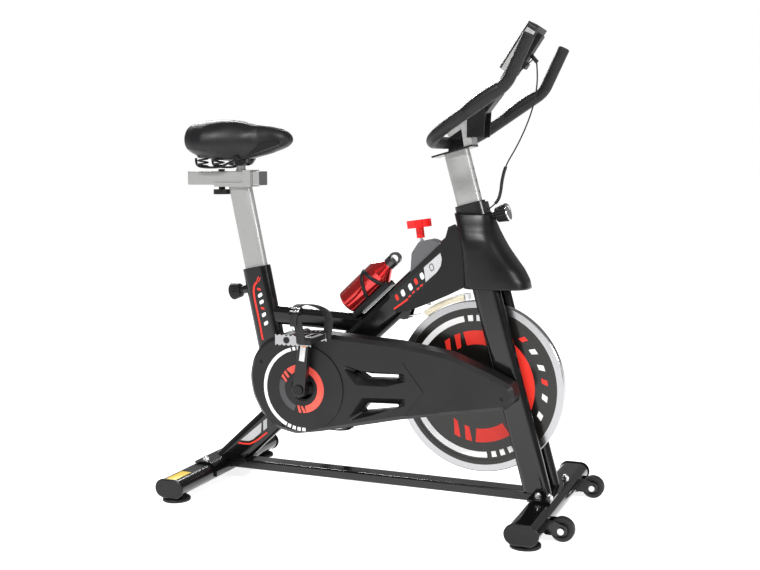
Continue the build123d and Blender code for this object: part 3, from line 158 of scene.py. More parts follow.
def make_world():
    """White to the camera, a dimmer white to everything else."""
    world = bpy.data.worlds.new("studio")
    bpy.context.scene.world = world
    world.use_nodes = True
    tree = world.node_tree
    background = tree.nodes["Background"]
    background.inputs["Color"].default_value = (1, 1, 1, 1)
    ray = tree.nodes.new("ShaderNodeLightPath")
    strength = tree.nodes.new("ShaderNodeMapRange")
    strength.inputs["To Min"].default_value = 0.24
    strength.inputs["To Max"].default_value = 1.0
    tree.links.new(ray.outputs["Is Camera Ray"], strength.inputs["Value"])
    tree.links.new(strength.outputs["Result"], background.inputs["Strength"])


def make_floor():
    size = 30
    mesh = bpy.data.meshes.new("floor")
    mesh.from_pydata([(-size, -size, 0), (size, -size, 0), (size, size, 0), (-size, size, 0)], [], [(0, 1, 2, 3)])
    floor = new_object("floor", mesh)
    floor.location.z = -0.0005
    paint = bpy.data.materials.new("floor_paint")
    paint.use_nodes = True
    shader = paint.node_tree.nodes["Principled BSDF"]
    for name, value in (
        ("Base Color", (0.93, 0.93, 0.93, 1)), ("Roughness", 0.75), ("Emission Color", (1, 1, 1, 1)),
        ("Emission Strength", 0.8),
    ):
        shader.inputs[name].default_value = value
    mesh.materials.append(paint)


def make_studio():
    bpy.context.scene.view_settings.view_transform = "Standard"
    make_world()
    area_light("key", (0.2, -2.6, 3.0), (0, 0, 0.5), 1.8, 110)
    area_light("fill", (3.2, -1.2, 1.6), (0.2, 0, 0.5), 1.2, 45)
    area_light("back", (-1.8, 2.4, 2.4), (0, 0, 0.5), 1.8, 80)
    make_floor()


# ---- materials
class Surface:
    """A Principled material that is built up node by node."""

    def __init__(self, name, color, rough, metal=0.0, coat=0.0, coat_rough=0.1):
        self.material = bpy.data.materials.new(name)
        self.material.use_nodes = True
        self.tree = self.material.node_tree
        self.shader = self.tree.nodes["Principled BSDF"]
        self.color = color
        for key, value in (
            ("Base Color", (*color, 1)), ("Roughness", rough), ("Metallic", metal), ("Coat Weight", coat),
            ("Coat Roughness", coat_rough), ("Specular IOR Level", 0.32),
        ):
            self.shader.inputs[key].default_value = value

    def node(self, kind, **values):
        made = self.tree.nodes.new(kind)
        for key, value in values.items():
            if key in made.inputs:
                made.inputs[key].default_value = value
            else:
                setattr(made, key, value)
        return made

    def link(self, start, end):
        self.tree.links.new(start, end)

    def place(self, stretch=(1, 1, 1)):
        """Object coordinates in metres, stretched for grain."""
        coord = self.node("ShaderNodeTexCoord")
        mapping = self.node("ShaderNodeMapping", Scale=stretch)
        self.link(coord.outputs["Object"], mapping.inputs["Vector"])
        return mapping.outputs["Vector"]

    def noise(self, scale, detail=3.0, stretch=(1, 1, 1)):
        made = self.node("ShaderNodeTexNoise", Scale=scale, Detail=detail)
        self.link(self.place(stretch), made.inputs["Vector"])
        return made.outputs["Fac"]

    def vector_math(self, operation, first, second):
        made = self.node("ShaderNodeVectorMath", operation=operation)
        self.link(first, made.inputs[0])
        made.inputs[1].default_value = second
        return made

    def scalar_math(self, operation, first, second=0.5):
        """Second may be a value or another node's output."""
        made = self.node("ShaderNodeMath", operation=operation)
        self.link(first, made.inputs[0])
        if isinstance(second, (int, float)):
            made.inputs[1].default_value = second
        else:
            self.link(second, made.inputs[1])
        return made.outputs[0]

    def spread(self, value, low, high, start=0.0, end=1.0):
        """Value between start and end becomes a value between low and high."""
        made = self.node("ShaderNodeMapRange", **{"From Min": start, "From Max": end, "To Min": low, "To Max": high})
        self.link(value, made.inputs["Value"])
        return made.outputs["Result"]

    def blend_colors(self, factor, first, second):
        made = self.node("ShaderNodeMix", data_type="RGBA")
        made.inputs[6].default_value = (*first, 1)
        made.inputs[7].default_value = (*second, 1)
        self.link(factor, made.inputs[0])
        self.link(made.outputs[2], self.shader.inputs["Base Color"])

    def vary_color(self, scale, low, high, detail=3.0):
        """Base colour drifts between two multiples of itself."""
        self.blend_colors(self.noise(scale, detail), [c * low for c in self.color], [c * high for c in self.color])

    def vary_rough(self, scale, low, high, detail=3.0, stretch=(1, 1, 1)):
        drift = self.noise(scale, detail, stretch)
        self.link(self.spread(drift, low, high, 0.3, 0.7), self.shader.inputs["Roughness"])

    def zone(self, tests):
        """1 where every test holds. A test is (direction, low, fold): the place in millimetres along the direction,
        folded about a value on both sides where fold is given, is above low."""
        place = self.node("ShaderNodeTexCoord").outputs["Object"]
        total = None
        for way, low, fold in tests:
            value = self.vector_math("DOT_PRODUCT", place, [c / MM for c in way]).outputs["Value"]
            if fold is not None:
                for shift in (0, fold):
                    value = self.scalar_math("ABSOLUTE", self.scalar_math("SUBTRACT", value, shift))
            above = self.scalar_math("GREATER_THAN", value, low)
            total = above if total is None else self.scalar_math("MULTIPLY", total, above)
        return total

    def two_tone(self, mask, color, metal, rough):
        """A second finish where the mask is 1."""
        for name, value in (("Base Color", (*color, 1)), ("Metallic", metal), ("Roughness", rough)):
            target = self.shader.inputs[name]
            kind, first, second, out = ("RGBA", 6, 7, 2) if name == "Base Color" else ("FLOAT", 2, 3, 0)
            mixed = self.node("ShaderNodeMix", data_type=kind)
            self.link(mask, mixed.inputs[0])
            if target.is_linked:
                self.link(target.links[0].from_socket, mixed.inputs[first])
            else:
                mixed.inputs[first].default_value = target.default_value
            mixed.inputs[second].default_value = value
            self.link(mixed.outputs[out], target)

    def bump(self, height, strength, distance):
        """Closes the material with a fine relief."""
        made = self.node("ShaderNodeBump", Strength=strength, Distance=distance)
        self.link(height, made.inputs["Height"])
        self.link(made.outputs["Normal"], self.shader.inputs["Normal"])
        return self.material

    def grain(self, scale, strength, distance, detail=2, stretch=(1, 1, 1)):
        return self.bump(self.noise(scale, detail, stretch), strength, distance)


def coating(name, color, rough, drift=None, mottle=None, parts=(), relief=None, **looks):
    """Surface with drifting roughness and colour, parts in a second finish and a fine relief. A part is the tests of
    its zone with its colour, metal and roughness."""
    surface = Surface(name, color, rough, **looks)
    if drift:
        surface.vary_rough(*drift)
    if mottle:
        surface.vary_color(*mottle)
    for tests, *second in parts:
        surface.two_tone(surface.zone(tests), *second)
    return surface.grain(*relief) if relief else surface.material


def painted(name, color, rough, coat):
    """Powder coat: slight orange peel under a clear gloss."""
    drift = (9, rough - 0.05, rough + 0.1)
    return coating(name, color, rough, drift, (3.5, 0.8, 1.25), relief=(260, 0.05, 0.0004), coat=coat)


def moulded(name, color, rough=0.4, scale=900, strength=0.25):
    """Moulded plastic with a fine spark-eroded texture."""
    drift = (14, rough - 0.08, rough + 0.1)
    return coating(name, color, rough, drift, (5, 0.82, 1.2), relief=(scale, strength, 0.0003))


def metal(name, color, rough, scale, strength=0.15, stretch=(1, 1, 1)):
    """Bare or plated metal, brushed along the axis with the smallest stretch."""
    drift = (scale, max(rough - 0.1, 0.03), rough + 0.12, 4, stretch)
    relief = (scale, strength, 0.0002, 4, stretch)
    return coating(name, color, rough, drift, (6, 0.88, 1.08), relief=relief, metal=1.0)


def silver_paint(name, mottle=None, parts=()):
    """Silver-grey enamel."""
    return coating(
        name, SILVER, 0.38, (12, 0.32, 0.46), mottle, parts, (300, 0.08, 0.0003), metal=0.35, coat=0.25,
        coat_rough=0.15,
    )


def ink(name, color, rough=0.4):
    """Printed film: flat colour with slight unevenness."""
    return coating(name, color, rough, mottle=(40, 0.93, 1.05), relief=(700, 0.05, 0.0002))


def flywheel_iron():
    """Black enamelled web inside a turned and polished rim."""
    black, rim = (0.008, 0.007, 0.006), (0.42, 0.42, 0.43)
    surface = Surface("flywheel_iron", black, 0.35, coat=0.3)
    place = surface.node("ShaderNodeTexCoord").outputs["Object"]
    moved = surface.vector_math("SUBTRACT", place, (HUB[0] * MM, 0, HUB[1] * MM))
    flat = surface.vector_math("MULTIPLY", moved.outputs[0], (1, 0, 1))
    reach = surface.vector_math("LENGTH", flat.outputs[0], (0, 0, 0)).outputs["Value"]
    edge = surface.spread(reach, 0, 1, (WEB_R - 0.2) * MM, (WEB_R + 0.4) * MM)
    rings = surface.node("ShaderNodeTexNoise", Scale=9000, Detail=2, noise_dimensions="1D")
    surface.link(reach, rings.inputs["W"])
    surface.blend_colors(edge, black, rim)
    surface.link(edge, surface.shader.inputs["Metallic"])
    surface.link(surface.spread(rings.outputs["Fac"], 0.16, 0.34), surface.shader.inputs["Roughness"])
    return surface.bump(rings.outputs["Fac"], 0.1, 0.0001)


def leather():
    """Grained synthetic leather: small cells with fine creases."""
    surface = Surface("saddle_leather", (0.007, 0.007, 0.008), 0.42)
    cells = surface.node("ShaderNodeTexVoronoi", Scale=420, feature="DISTANCE_TO_EDGE")
    surface.link(surface.place(), cells.inputs["Vector"])
    surface.vary_rough(20, 0.36, 0.54)
    surface.vary_color(8, 0.75, 1.3)
    return surface.bump(cells.outputs["Distance"], 0.2, 0.0006)


def bottle_paint():
    """Candy red over aluminium, with a black cap."""
    cap = [(upright(BEAM_DIR), reach_along(BOTTLE_BASE, BEAM_DIR) + BOTTLE_CAP, None)]
    return coating(
        "bottle_red", (0.62, 0.012, 0.012), 0.16, mottle=(25, 0.9, 1.08), parts=[(cap, SOFT_BLACK, 0.0, 0.3)],
        relief=(900, 0.06, 0.0002), metal=0.85, coat=1.0, coat_rough=0.03,
    )


def console_shell():
    """Black housing with silver sides that stop short of the screen's edge and the top."""
    along = direction(-34)
    across = (along[1], -along[0])
    foot = (296, 1001)
    sides = [
        ((0, 1, 0), 39.5, 0), (upright(across), reach_along(foot, across) + 6, None),
        (upright(along, -1), -reach_along(foot, along) - 104, None),
    ]
    return coating(
        "console_shell", (0.012, 0.012, 0.013), 0.4, (14, 0.32, 0.5),
        parts=[(sides, (0.36, 0.36, 0.355), 0.35, 0.35)], relief=(700, 0.1, 0.0003),
    )


def pedal_finish():
    """Black body between two bright toothed plates."""
    plates = [((0, 1, 0), 38.5, PEDAL_Y)]
    return coating(
        "pedal_finish", (0.012, 0.012, 0.0125), 0.4, (30, 0.32, 0.5), parts=[(plates, (0.4, 0.4, 0.41), 1.0, 0.24)],
        relief=(500, 0.15, 0.0003),
    )


def head_knob_finish():
    """Black ribbed knob with a bright end."""
    end = [(upright(HEAD_OUT), reach_along(HEAD_PIN, HEAD_OUT) + 81.5, None)]
    return coating(
        "head_knob_finish", DEEP_BLACK, 0.35, (40, 0.28, 0.45), parts=[(end, (0.7, 0.7, 0.72), 1.0, 0.12)],
        relief=(400, 0.1, 0.0002),
    )


def stem_finish():
    """Silver clamp on a black head plate."""
    plate_top = reach_along(step(HEAD_TOP, HEAD_DIR, 127.6), HEAD_DIR)
    plate = [(upright(HEAD_DIR, -1), -plate_top, None)]
    return silver_paint("stem_finish", parts=[(plate, DEEP_BLACK, 0.0, 0.25)])


def slider_finish():
    """Silver slider with a dark front face and a dark seam behind its front plug."""
    clear_of_seam, front = [((1, 0, 0), 0.9, 327)], [((1, 0, 0), -308.2, None)]
    return coating(
        "slider_finish", SOFT_BLACK, 0.4,
        parts=[(clear_of_seam, SILVER, 0.35, 0.38), (front, (0.09, 0.09, 0.092), 0.2, 0.35)],
        relief=(300, 0.08, 0.0003),
    )


def frame_bolts():
    """Bright screws, black ones in the chain guard."""
    guard = [((0, -1, 0), 100, None), ((-1, 0, 0), -345, None)]
    return coating(
        "frame_bolts", (0.7, 0.7, 0.71), 0.22, (200, 0.14, 0.34, 4), parts=[(guard, SOFT_BLACK, 0.0, 0.35)],
        relief=(200, 0.1, 0.0002, 4), metal=1.0,
    )


def make_materials():
    """Every material by name."""
    return {
        "paint": painted("gloss_black_paint", (0.003, 0.003, 0.0035), 0.14, 0.3),
        "satin": painted("satin_black_paint", (0.006, 0.006, 0.0065), 0.3, 0.2),
        "cover": moulded("cover_plastic", (0.0085, 0.0085, 0.0095), strength=0.12),
        "shroud": moulded("shroud_plastic", (0.005, 0.005, 0.0055), 0.33, 800, 0.1),
        "plastic": moulded("black_plastic", (0.006, 0.006, 0.0065)),
        "grey": moulded("grey_plastic", (0.1, 0.1, 0.105)),
        "rubber": moulded("black_rubber", (0.016, 0.016, 0.016), 0.62, 500, 0.4),
        "red": moulded("red_plastic", (0.72, 0.012, 0.012), 0.3, 700, 0.1),
        "silver": silver_paint("silver_paint", (1800, 0.93, 1.06, 2)),
        "steel": metal("satin_steel", (0.62, 0.62, 0.64), 0.28, 700, stretch=(1, 0.03, 1)),
        "zinc": metal("bright_zinc", (0.7, 0.7, 0.71), 0.2, 200),
        "chrome": metal("chrome", (0.82, 0.82, 0.84), 0.07, 60, 0.03),
        "bolts": frame_bolts(),
        "pedals": pedal_finish(),
        "console": console_shell(),
        "head_knob": head_knob_finish(),
        "stem": stem_finish(),
        "slider": slider_finish(),
        "flywheel": flywheel_iron(),
        "leather": leather(),
        "felt": coating("brake_felt", (0.74, 0.68, 0.52), 0.95, None, (120, 0.82, 1.12, 5), (), (600, 0.9, 0.001, 6)),
        "foam": coating("grip_foam", (0.007, 0.007, 0.0075), 0.45, (60, 0.4, 0.6), relief=(1400, 0.35, 0.0004, 3)),
        "bottle": bottle_paint(),
        "screen": coating(
            "screen_glass", (0.02, 0.025, 0.025), 0.05, (30, 0.03, 0.1), coat=1.0, coat_rough=0.02,
        ),
        "white_ink": ink("white_print", (0.85, 0.84, 0.84)),
        "red_ink": ink("red_print", (0.83, 0.035, 0.022)),
        "cover_red": ink("cover_red_print", (0.9, 0.1, 0.07)),
        "silver_ink": ink("silver_print", (0.5, 0.5, 0.51), 0.3),
        "grey_ink": ink("grey_print", (0.06, 0.06, 0.063), 0.45),
        "yellow_ink": ink("yellow_print", (0.85, 0.6, 0.04)),
        "orange_ink": ink("orange_print", (0.95, 0.3, 0.02)),
    }


NODE_MATERIALS = {
    "paint": ["main_beam", "seat_tube", "brace_tube", "fork", "rear_stabiliser", "front_stabiliser", "bottom_bar"],
    "satin": ["head_tube", "crank_arms", "handlebar_tube", "saddle_rails", "saddle_clamp"],
    "cover": ["chain_cover_outer", "chain_cover_inner"],
    "shroud": ["head_shroud"],
    "plastic": ["end_caps", "drive_pulley", "post_bushings", "bottle_cage", "seat_post_knob",
                "pulse_sensors", "slider_knob", "saddle_base", "console_arm", "sensor_cable", "pulse_lead",
                "pedal_strap_right", "pedal_strap_left"],
    "grey": ["tension_cover"],
    "rubber": ["drive_belt", "transport_wheel_right", "transport_wheel_left", "foot_rear_right",
               "foot_rear_left", "foot_front_right", "foot_front_left"],
    "red": ["resistance_knob", "console_button"],
    "silver": ["seat_post", "handlebar_post"],
    "slider": ["slider_rail"],
    "stem": ["stem"],
    "steel": ["bearings", "crank_spindle", "pedal_axles", "flywheel_axle", "driven_pulley"],
    "zinc": ["brake_rod", "brake_arm"],
    "bolts": ["frame_fasteners"],
    "pedals": ["pedal_right", "pedal_left"],
    "console": ["console_case"],
    "head_knob": ["head_knob"],
    "flywheel": ["flywheel"],
    "leather": ["saddle_cushion"],
    "felt": ["brake_pad"],
    "foam": ["foam_grips"],
    "bottle": ["bottle"],
    "screen": ["console_screen"],
}


def dress_nodes():
    for finish, nodes in NODE_MATERIALS.items():
        for node in nodes:
            data = NODES[node].data
            data.materials.clear()
            data.materials.append(MATERIALS[finish])


# ---- mesh helpers
def add_skin(made, rings, caps=True, closed=False):
    """Faces through rings of points in metres, with flat ends or joined end to end."""
    rings = [[made.verts.new(point) for point in ring] for ring in rings]
    count = len(rings[0])
    for before, after in zip(rings, rings[1:] + rings[:1] if closed else rings[1:]):
        for index in range(count):
            nxt = (index + 1) % count
            made.faces.new((before[index], before[nxt], after[nxt], after[index]))
    if caps and not closed:
        made.faces.new(rings[0])
        made.faces.new(list(reversed(rings[-1])))


def mesh_from(made, name, smooth=True, turn=True):
    """Mesh of what was made; turn=False where the faces already look outwards."""
    if turn:
        bmesh.ops.recalc_face_normals(made, faces=made.faces)
    mesh = bpy.data.meshes.new(name)
    made.to_mesh(mesh)
    made.free()
    if smooth:
        shade_smooth(mesh)
    return mesh


def skin_mesh(name, rings, smooth=True, **ends):
    made = bmesh.new()
    add_skin(made, rings, **ends)
    return mesh_from(made, name, smooth)


def side_film(name, outlines, y, finish, body, thick=0.25):
    """Printed film lying on a face that looks along Y: filled side-view outlines given a little thickness."""
    outer = y + math.copysign(thick, y)
    made = bmesh.new()
    for outline in outlines:
        add_skin(made, [[mm(x, layer, z) for x, z in outline] for layer in (outer, y)])
    return dress(new_object(name, mesh_from(made, name, False)), finish, body)


def ring_part(centre, inner, outer, start, end, slant=0, steps=None):
    """Outlines of a ring sector, in four-sided pieces; slant turns the inner edge on by some degrees."""
    count = steps or max(1, int(abs(end - start) / 4))
    pieces = []
    for index in range(count):
        a = start + (end - start) * index / count
        b = start + (end - start) * (index + 1) / count
        pieces.append([
            polar(centre, inner, a + slant), polar(centre, outer, a),
            polar(centre, outer, b), polar(centre, inner, b + slant),
        ])
    return pieces


def dashes(centre, inner, outer, places, before, after, slant=0):
    """One ring sector at each place, reaching some degrees before and after it."""
    pieces = []
    for place in places:
        pieces += ring_part(centre, inner, outer, place - before, place + after, slant, 1)
    return pieces


def flywheel_prints():
    """White segmented ring, red ring sectors and plain marks on both faces."""
    rim, marks, core = (HUB, 152, 165.5), (HUB, 148, 161), (HUB, 98, 130)
    white = ring_part(*rim, 103, 277.5)
    white += dashes(*rim, (99.6, 92.3, 85.0, 78.0), 4.3, 0) + dashes(*rim, (281.5, 289.0, 296.5, 304.0), 0, 4)
    white += dashes(*marks, (33.8, 19, -6.7, -22.7), 2.4, 2.4, 2.5)
    red = ring_part(*core, 107, 62) + ring_part(HUB, 66, 131, 56, -30) + ring_part(*core, -93, -55)
    for start, width, slant in ((110.6, 6.5, 5), (122.8, 6.5, 9.5), (-103.5, 6.8, -6.5), (-116.2, 6.8, -11.5)):
        red += dashes(*core, (start,), 0, width, slant)
    red += dashes(*marks, (47, 6.7), 2.2, 2.2, 2.5)
    for side, tag in SIDES:
        y = side * WEB_FACE
        side_film(f"flywheel_white_ring_{tag}", white, y, "white_ink", "flywheel")
        side_film(f"flywheel_red_ring_{tag}", red, y, "red_ink", "flywheel")


def cover_prints():
    """Rings printed on the chain guard's round panel."""
    y = COVER_FACE
    hub = (-150, 272.5)
    rim, core = ((-148, 272), 92, 100.2), (hub, 41, 57.5)
    white = ring_part(*rim, 107, 244.5) + dashes(*rim, (104.5, 97.6), 4.6, 0)
    white += dashes(*rim, (246.7, 254.3, 262, 269.5), 0, 5)
    side_film("cover_white_ring", white, y, "white_ink", "frame")
    red = ring_part(*core, 82, -77.5) + ring_part(*core, 103, 131, -4)
    red += dashes(*core, (135,), 0, 7, 4) + dashes(*core, (146,), 0, 7, 9) + dashes(*core, (-85, -97), 0, 6.5, -8)
    side_film("cover_red_ring", red, y, "cover_red", "frame")
    side_film("cover_grey_ring", ring_part(hub, 43, 57.5, 160, 250), y, "grey_ink", "frame")


def stroke(points, width):
    """Outlines of a painted line of even width through side-view points."""
    edges = []
    for index, (x, z) in enumerate(points):
        before = points[max(index - 1, 0)]
        after = points[min(index + 1, len(points) - 1)]
        run = math.hypot(after[0] - before[0], after[1] - before[1])
        across = (-(after[1] - before[1]) / run * width / 2, (after[0] - before[0]) / run * width / 2)
        edges.append(((x + across[0], z + across[1]), (x - across[0], z - across[1])))
    return [[a, b, d, c] for (a, b), (c, d) in zip(edges, edges[1:])]


def mark(centre, slope, long, high, slant=0.3):
    """Plain slanted lozenge with cut corners, lying along a slope."""
    c, s = math.cos(math.radians(slope)), math.sin(math.radians(slope))
    corners = [(-0.5, -0.3), (-0.3, -0.5), (0.3, -0.5), (0.5, -0.3)]
    outline = []
    for u, v in corners + [(-u, -v) for u, v in corners]:
        u, v = u * long + v * high * slant, v * high
        outline.append((centre[0] + u * c - v * s, centre[1] + u * s + v * c))
    return outline


def beam_prints():
    """Film on the hood's wings: silver panel, plain marks and a red line that breaks into dashes."""
    base = [(33, 484), (42, 456), (80, 482), (122, 519), (148, 544), (159, 561), (162, 577), (158, 597)]
    panel = [(117.4, 556.1), (157.3, 590.6), (161, 577), (158.6, 561), (149.5, 546.8), (122.1, 522.4)]
    whites = [mark(place, BEAM_SLOPE, 10, 14) for place in ((66.3, 495.1), (84.8, 509.8), (113.1, 536.3))]
    reds = [mark(place, BEAM_SLOPE, 8, 13) for place in ((51.3, 483.9), (98.4, 523.1))]
    reds += stroke([(43.8, 456.5), (60, 468), (78.6, 481.6)], 4)
    reds += [mark(place, 38, 8, 3.4) for place in ((82.9, 488.3), (92.2, 498.0), (103.3, 506.6), (111.8, 514.3))]
    for side, tag in SIDES:
        for name, outlines, out, finish in (
            ("base", [base], 24.5, "paint"), ("panel", [panel], 24.65, "silver_ink"),
            ("white", whites, 24.65, "white_ink"), ("red", reds, 24.65, "red_ink"),
            ("line", [mark((136.5, 557), BEAM_SLOPE, 12, 15)], 24.8, "grey_ink"),
            ("line_core", [mark((136.5, 557), BEAM_SLOPE, 8, 11)], 24.95, "silver_ink"),
        ):
            side_film(f"beam_print_{name}_{tag}", outlines, side * out, finish, "frame", 0.15)


def frame_prints():
    """Films on the seat tube and on the rear end of the beam, both sides."""
    stripe = [
        (-318, 505), (-322.6, 502), (-326.5, 495), (-328.2, 482), (-325.7, 463), (-319.6, 436), (-312.6, 403),
        (-305, 363),
    ]
    seat_red = stroke(stripe, 5)
    seat_red += stroke([(-319, 507.5), (-314.2, 519)], 2.4) + stroke([(-314.6, 506), (-309.6, 517)], 2.4)
    seat_red += [mark((-313.4, 488), -78, 6, 9), mark((-303.7, 441.2), -78, 6, 9)]
    white_places = ((-310.2, 473.5), (-306.4, 457), (-300.5, 425.6), (-295, 405))
    seat_white = [mark(place, -78, 9, 12, -0.3) for place in white_places]
    trapezoid = [(-372.4, 104.4), (-312.5, 154.4), (-314.1, 129.5), (-337.2, 109.6), (-349, 104.4)]
    slash = [(-307.4, 159.2), (-297, 167), (-297.1, 142.6), (-307.4, 134)]
    swoosh = [(-379.2, 97), (-362, 96.2), (-346.6, 97.2), (-334, 103.4), (-322.5, 110.8), (-296.6, 131.1)]
    for side, tag in SIDES:
        for name, outlines, finish in (
            ("seat_tube_red", seat_red, "red_ink"), ("seat_tube_white", seat_white, "white_ink"),
            ("rear_beam_silver", [trapezoid, slash], "silver_ink"), ("rear_beam_red", stroke(swoosh, 4), "red_ink"),
        ):
            side_film(f"{name}_print_{tag}", outlines, side * 20.0, finish, "frame", 0.15)


def labels():
    """Blank labels: one on the rear stabiliser, one in two colours on the right crank."""
    plate = box_piece("stabiliser_label", (-440.3, -203, 55.2), (1, 0, 0), ACROSS, (27, 74, 0.25), 0.05)
    dress(plate, "yellow_ink", "frame")
    across = (CRANK_DIR[1], -CRANK_DIR[0])
    for name, low, high in (("orange", 103, 115), ("white", 69.5, 102.8)):
        x, z = step(BB, CRANK_DIR, (low + high) / 2, 1)
        sizes = (13.5, high - low, 0.25)
        label = box_piece(f"crank_label_{name}", (x, -149.1, z), upright(across), upright(CRANK_DIR), sizes, 0.05)
        dress(label, f"{name}_ink", "crank")


# ---- modelled trim
def dress(obj, finish, body):
    """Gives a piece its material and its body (none when it is blended between two)."""
    obj.data.materials.clear()
    obj.data.materials.append(MATERIALS[finish])
    if body:
        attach(obj, body)
    return obj


def box_piece(name, centre, way_u, way_v, sizes, bevel):
    """Block with eased edges on its own axes, all in millimetres."""
    u, v = Vector(way_u).normalized(), Vector(way_v).normalized()
    w = u.cross(v)
    made = bmesh.new()
    bmesh.ops.create_cube(made, size=1)
    for vertex in made.verts:
        a, b, c = vertex.co
        vertex.co = (Vector(centre) + u * a * sizes[0] + v * b * sizes[1] + w * c * sizes[2]) * MM
    bmesh.ops.bevel(made, geom=list(made.edges), offset=bevel * MM, segments=2, affect="EDGES", profile=0.5)
    return new_object(name, mesh_from(made, name, turn=False))


def band(name, stations, half_wide, half_thick):
    """Strap through stations of (place, across, outward) in millimetres, with eased edges."""
    section = (
        (-1, -0.35), (-1, 0.35), (-0.9, 1), (0.9, 1), (1, 0.35), (1, -0.35), (0.9, -1), (-0.9, -1),
    )
    rings = []
    for place, across, outward in stations:
        place, across, outward = Vector(place), Vector(across).normalized(), Vector(outward).normalized()
        rings.append([(place + across * u * half_wide + outward * v * half_thick) * MM for u, v in section])
    return new_object(name, skin_mesh(name, rings))


def eased(points, steps=8):
    """Points of a Catmull-Rom line through points in space."""
    line = []
    for index in range(len(points) - 1):
        p0 = Vector(points[max(index - 1, 0)])
        p1, p2 = Vector(points[index]), Vector(points[index + 1])
        p3 = Vector(points[min(index + 2, len(points) - 1)])
        for count in range(steps):
            t = count / steps
            line.append(0.5 * (
                2 * p1 + (p2 - p0) * t + (2 * p0 - 5 * p1 + 4 * p2 - p3) * t * t
                + (3 * p1 - p0 - 3 * p2 + p3) * t * t * t
            ))
    line.append(Vector(points[-1]))
    return line


def strap_stations(line, across):
    """Stations for a band whose width runs along one direction."""
    across = Vector(across)
    stations = []
    for index, place in enumerate(line):
        run = (line[min(index + 1, len(line) - 1)] - line[max(index - 1, 0)]).normalized()
        flat = (across - run * across.dot(run)).normalized()
        stations.append((place, flat, run.cross(flat)))
    return stations


def toe_straps():
    """Rubber toe strap with its buckle and loose end on each pedal; the left one hangs with its pedal."""
    for side, tag in SIDES:
        sign = -side
        droop = 1 if side < 0 else 0.62
        body = f"pedal_{tag}"
        x, z = step(BB, CRANK_DIR, CRANK_LONG * sign)

        def at(dx, dy, dz):
            """Place on the pedal: ahead, away from the bike, up; turned over and slacker for the left pedal."""
            return (x + sign * dx, side * (PEDAL_Y + dy), z + sign * dz * droop)

        arch = [
            at(36, 43.6, -5), at(34, 43.8, 18), at(28, 43.6, 44), at(22, 39, 66), at(25, 26, 77), at(36, 6, 77),
            at(50, -16, 70), at(60, -34, 58), at(64, -43.2, 40), at(62, -44, 16), at(58, -43.6, -5),
        ]
        strap = band(f"toe_strap_{tag}", strap_stations(eased(arch), (1, 0, 0)), 10.5, 1.1)
        dress(strap, "rubber", body)
        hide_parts(f"pedal_strap_{tag}")
        tail = [at(24, 40, 68), at(22, 45, 60), at(20, 47.5, 46), at(20, 48, 32)]
        loose = band(f"toe_strap_end_{tag}", strap_stations(eased(tail), (1, 0, 0.2)), 8, 0.9)
        dress(loose, "rubber", body)
        lean = (0, side * 0.72, sign * -0.7)
        buckle = box_piece(f"toe_buckle_{tag}", at(23, 39.5, 66), (1, 0, 0), lean, (27, 15, 5.5), 1.6)
        dress(buckle, "plastic", body)
        for index, up in enumerate((-4.5, 4.5)):
            place = at(23, 42.5 - up * 0.7, 68.5 + up * 0.7)
            bar = box_piece(f"toe_buckle_bar_{tag}_{index}", place, (1, 0, 0), lean, (21, 2.2, 3), 0.8)
            dress(bar, "zinc", body)
        y = side * PEDAL_FACE
        disc(f"pedal_cap_{tag}", (x, z), y, y + side * 1.8, 7.5, "plastic", body)
        front = box_piece(
            f"pedal_front_{tag}", (x + sign * 44, y + side * 0.8, z), (1, 0, 0), ACROSS, (32, 1.8, 17), 0.7,
        )
        dress(front, "plastic", body)


def round_bottle(along, angle, radius):
    """Place round the bottle's axis; angle 0 faces the rider's right, 90 faces the beam."""
    a = math.radians(angle)
    x, z = step(BOTTLE_BASE, BEAM_DIR, along, radius * math.sin(a))
    return (x, -radius * math.cos(a), z)


def bottle_holder():
    """Moulded holder: rail on the beam, plate at the foot and a pair of crossed arms on each side."""
    x, z = step(BOTTLE_BASE, BEAM_DIR, 56, BOTTLE_R + 4.6)
    rail = box_piece("bottle_rail", (x, 0, z), upright(BEAM_DIR), ACROSS, (118, 34, 8), 2)
    dress(rail, "plastic", "frame")
    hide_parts("bottle_cage")
    x, z = step(BOTTLE_BASE, BEAM_DIR, 56, 34)
    for side, tag in SIDES:
        name = f"bottle_rail_wall_{tag}"
        wall = box_piece(name, (x, side * 19.5, z), upright(BEAM_DIR), ACROSS, (118, 5, 13), 1)
        dress(wall, "plastic", "frame")
    rings = [
        [mm(*round_bottle(along, 360 * index / 48, radius)) for index in range(48)]
        for along, radius in ((-3.4, 3), (-3.4, 22), (-2.6, 24), (-0.9, 24), (-0.8, 3))
    ]
    cup = new_object("bottle_cup", skin_mesh("bottle_cup", rings, closed=True))
    dress(cup, "plastic", "frame")
    for side, tag in SIDES:
        for index, (low, high) in enumerate(((44, 88), (108, 88))):
            stations = []
            for count in range(25):
                t = count / 24
                angle, along = 84 - 150 * t, low + (high - low) * t
                place = Vector(round_bottle(along, angle, BOTTLE_R + 1.9))
                way = Vector(round_bottle(along, angle, BOTTLE_R + 3)) - place
                mirror = Vector((1, -side, 1))
                stations.append((place * mirror, upright(BEAM_DIR), way * mirror))
            arm = band(f"bottle_arm_{tag}_{index}", stations, 4.5, 1.1)
            dress(arm, "plastic", "frame")


def disc(name, point, y_from, y_to, radius, finish, body):
    """Round cap along Y with an eased rim, at a side-view point."""
    out = math.copysign(1, y_to - y_from)
    rings = []
    for y, r in ((y_from, radius), (y_to - out, radius), (y_to - out * 0.3, radius - 0.7), (y_to, radius - 1.6)):
        places = [polar(point, r, 360 * k / 32) for k in range(32)]
        rings.append([mm(x, y, z) for x, z in places])
    return dress(new_object(name, skin_mesh(name, rings, smooth=False)), finish, body)


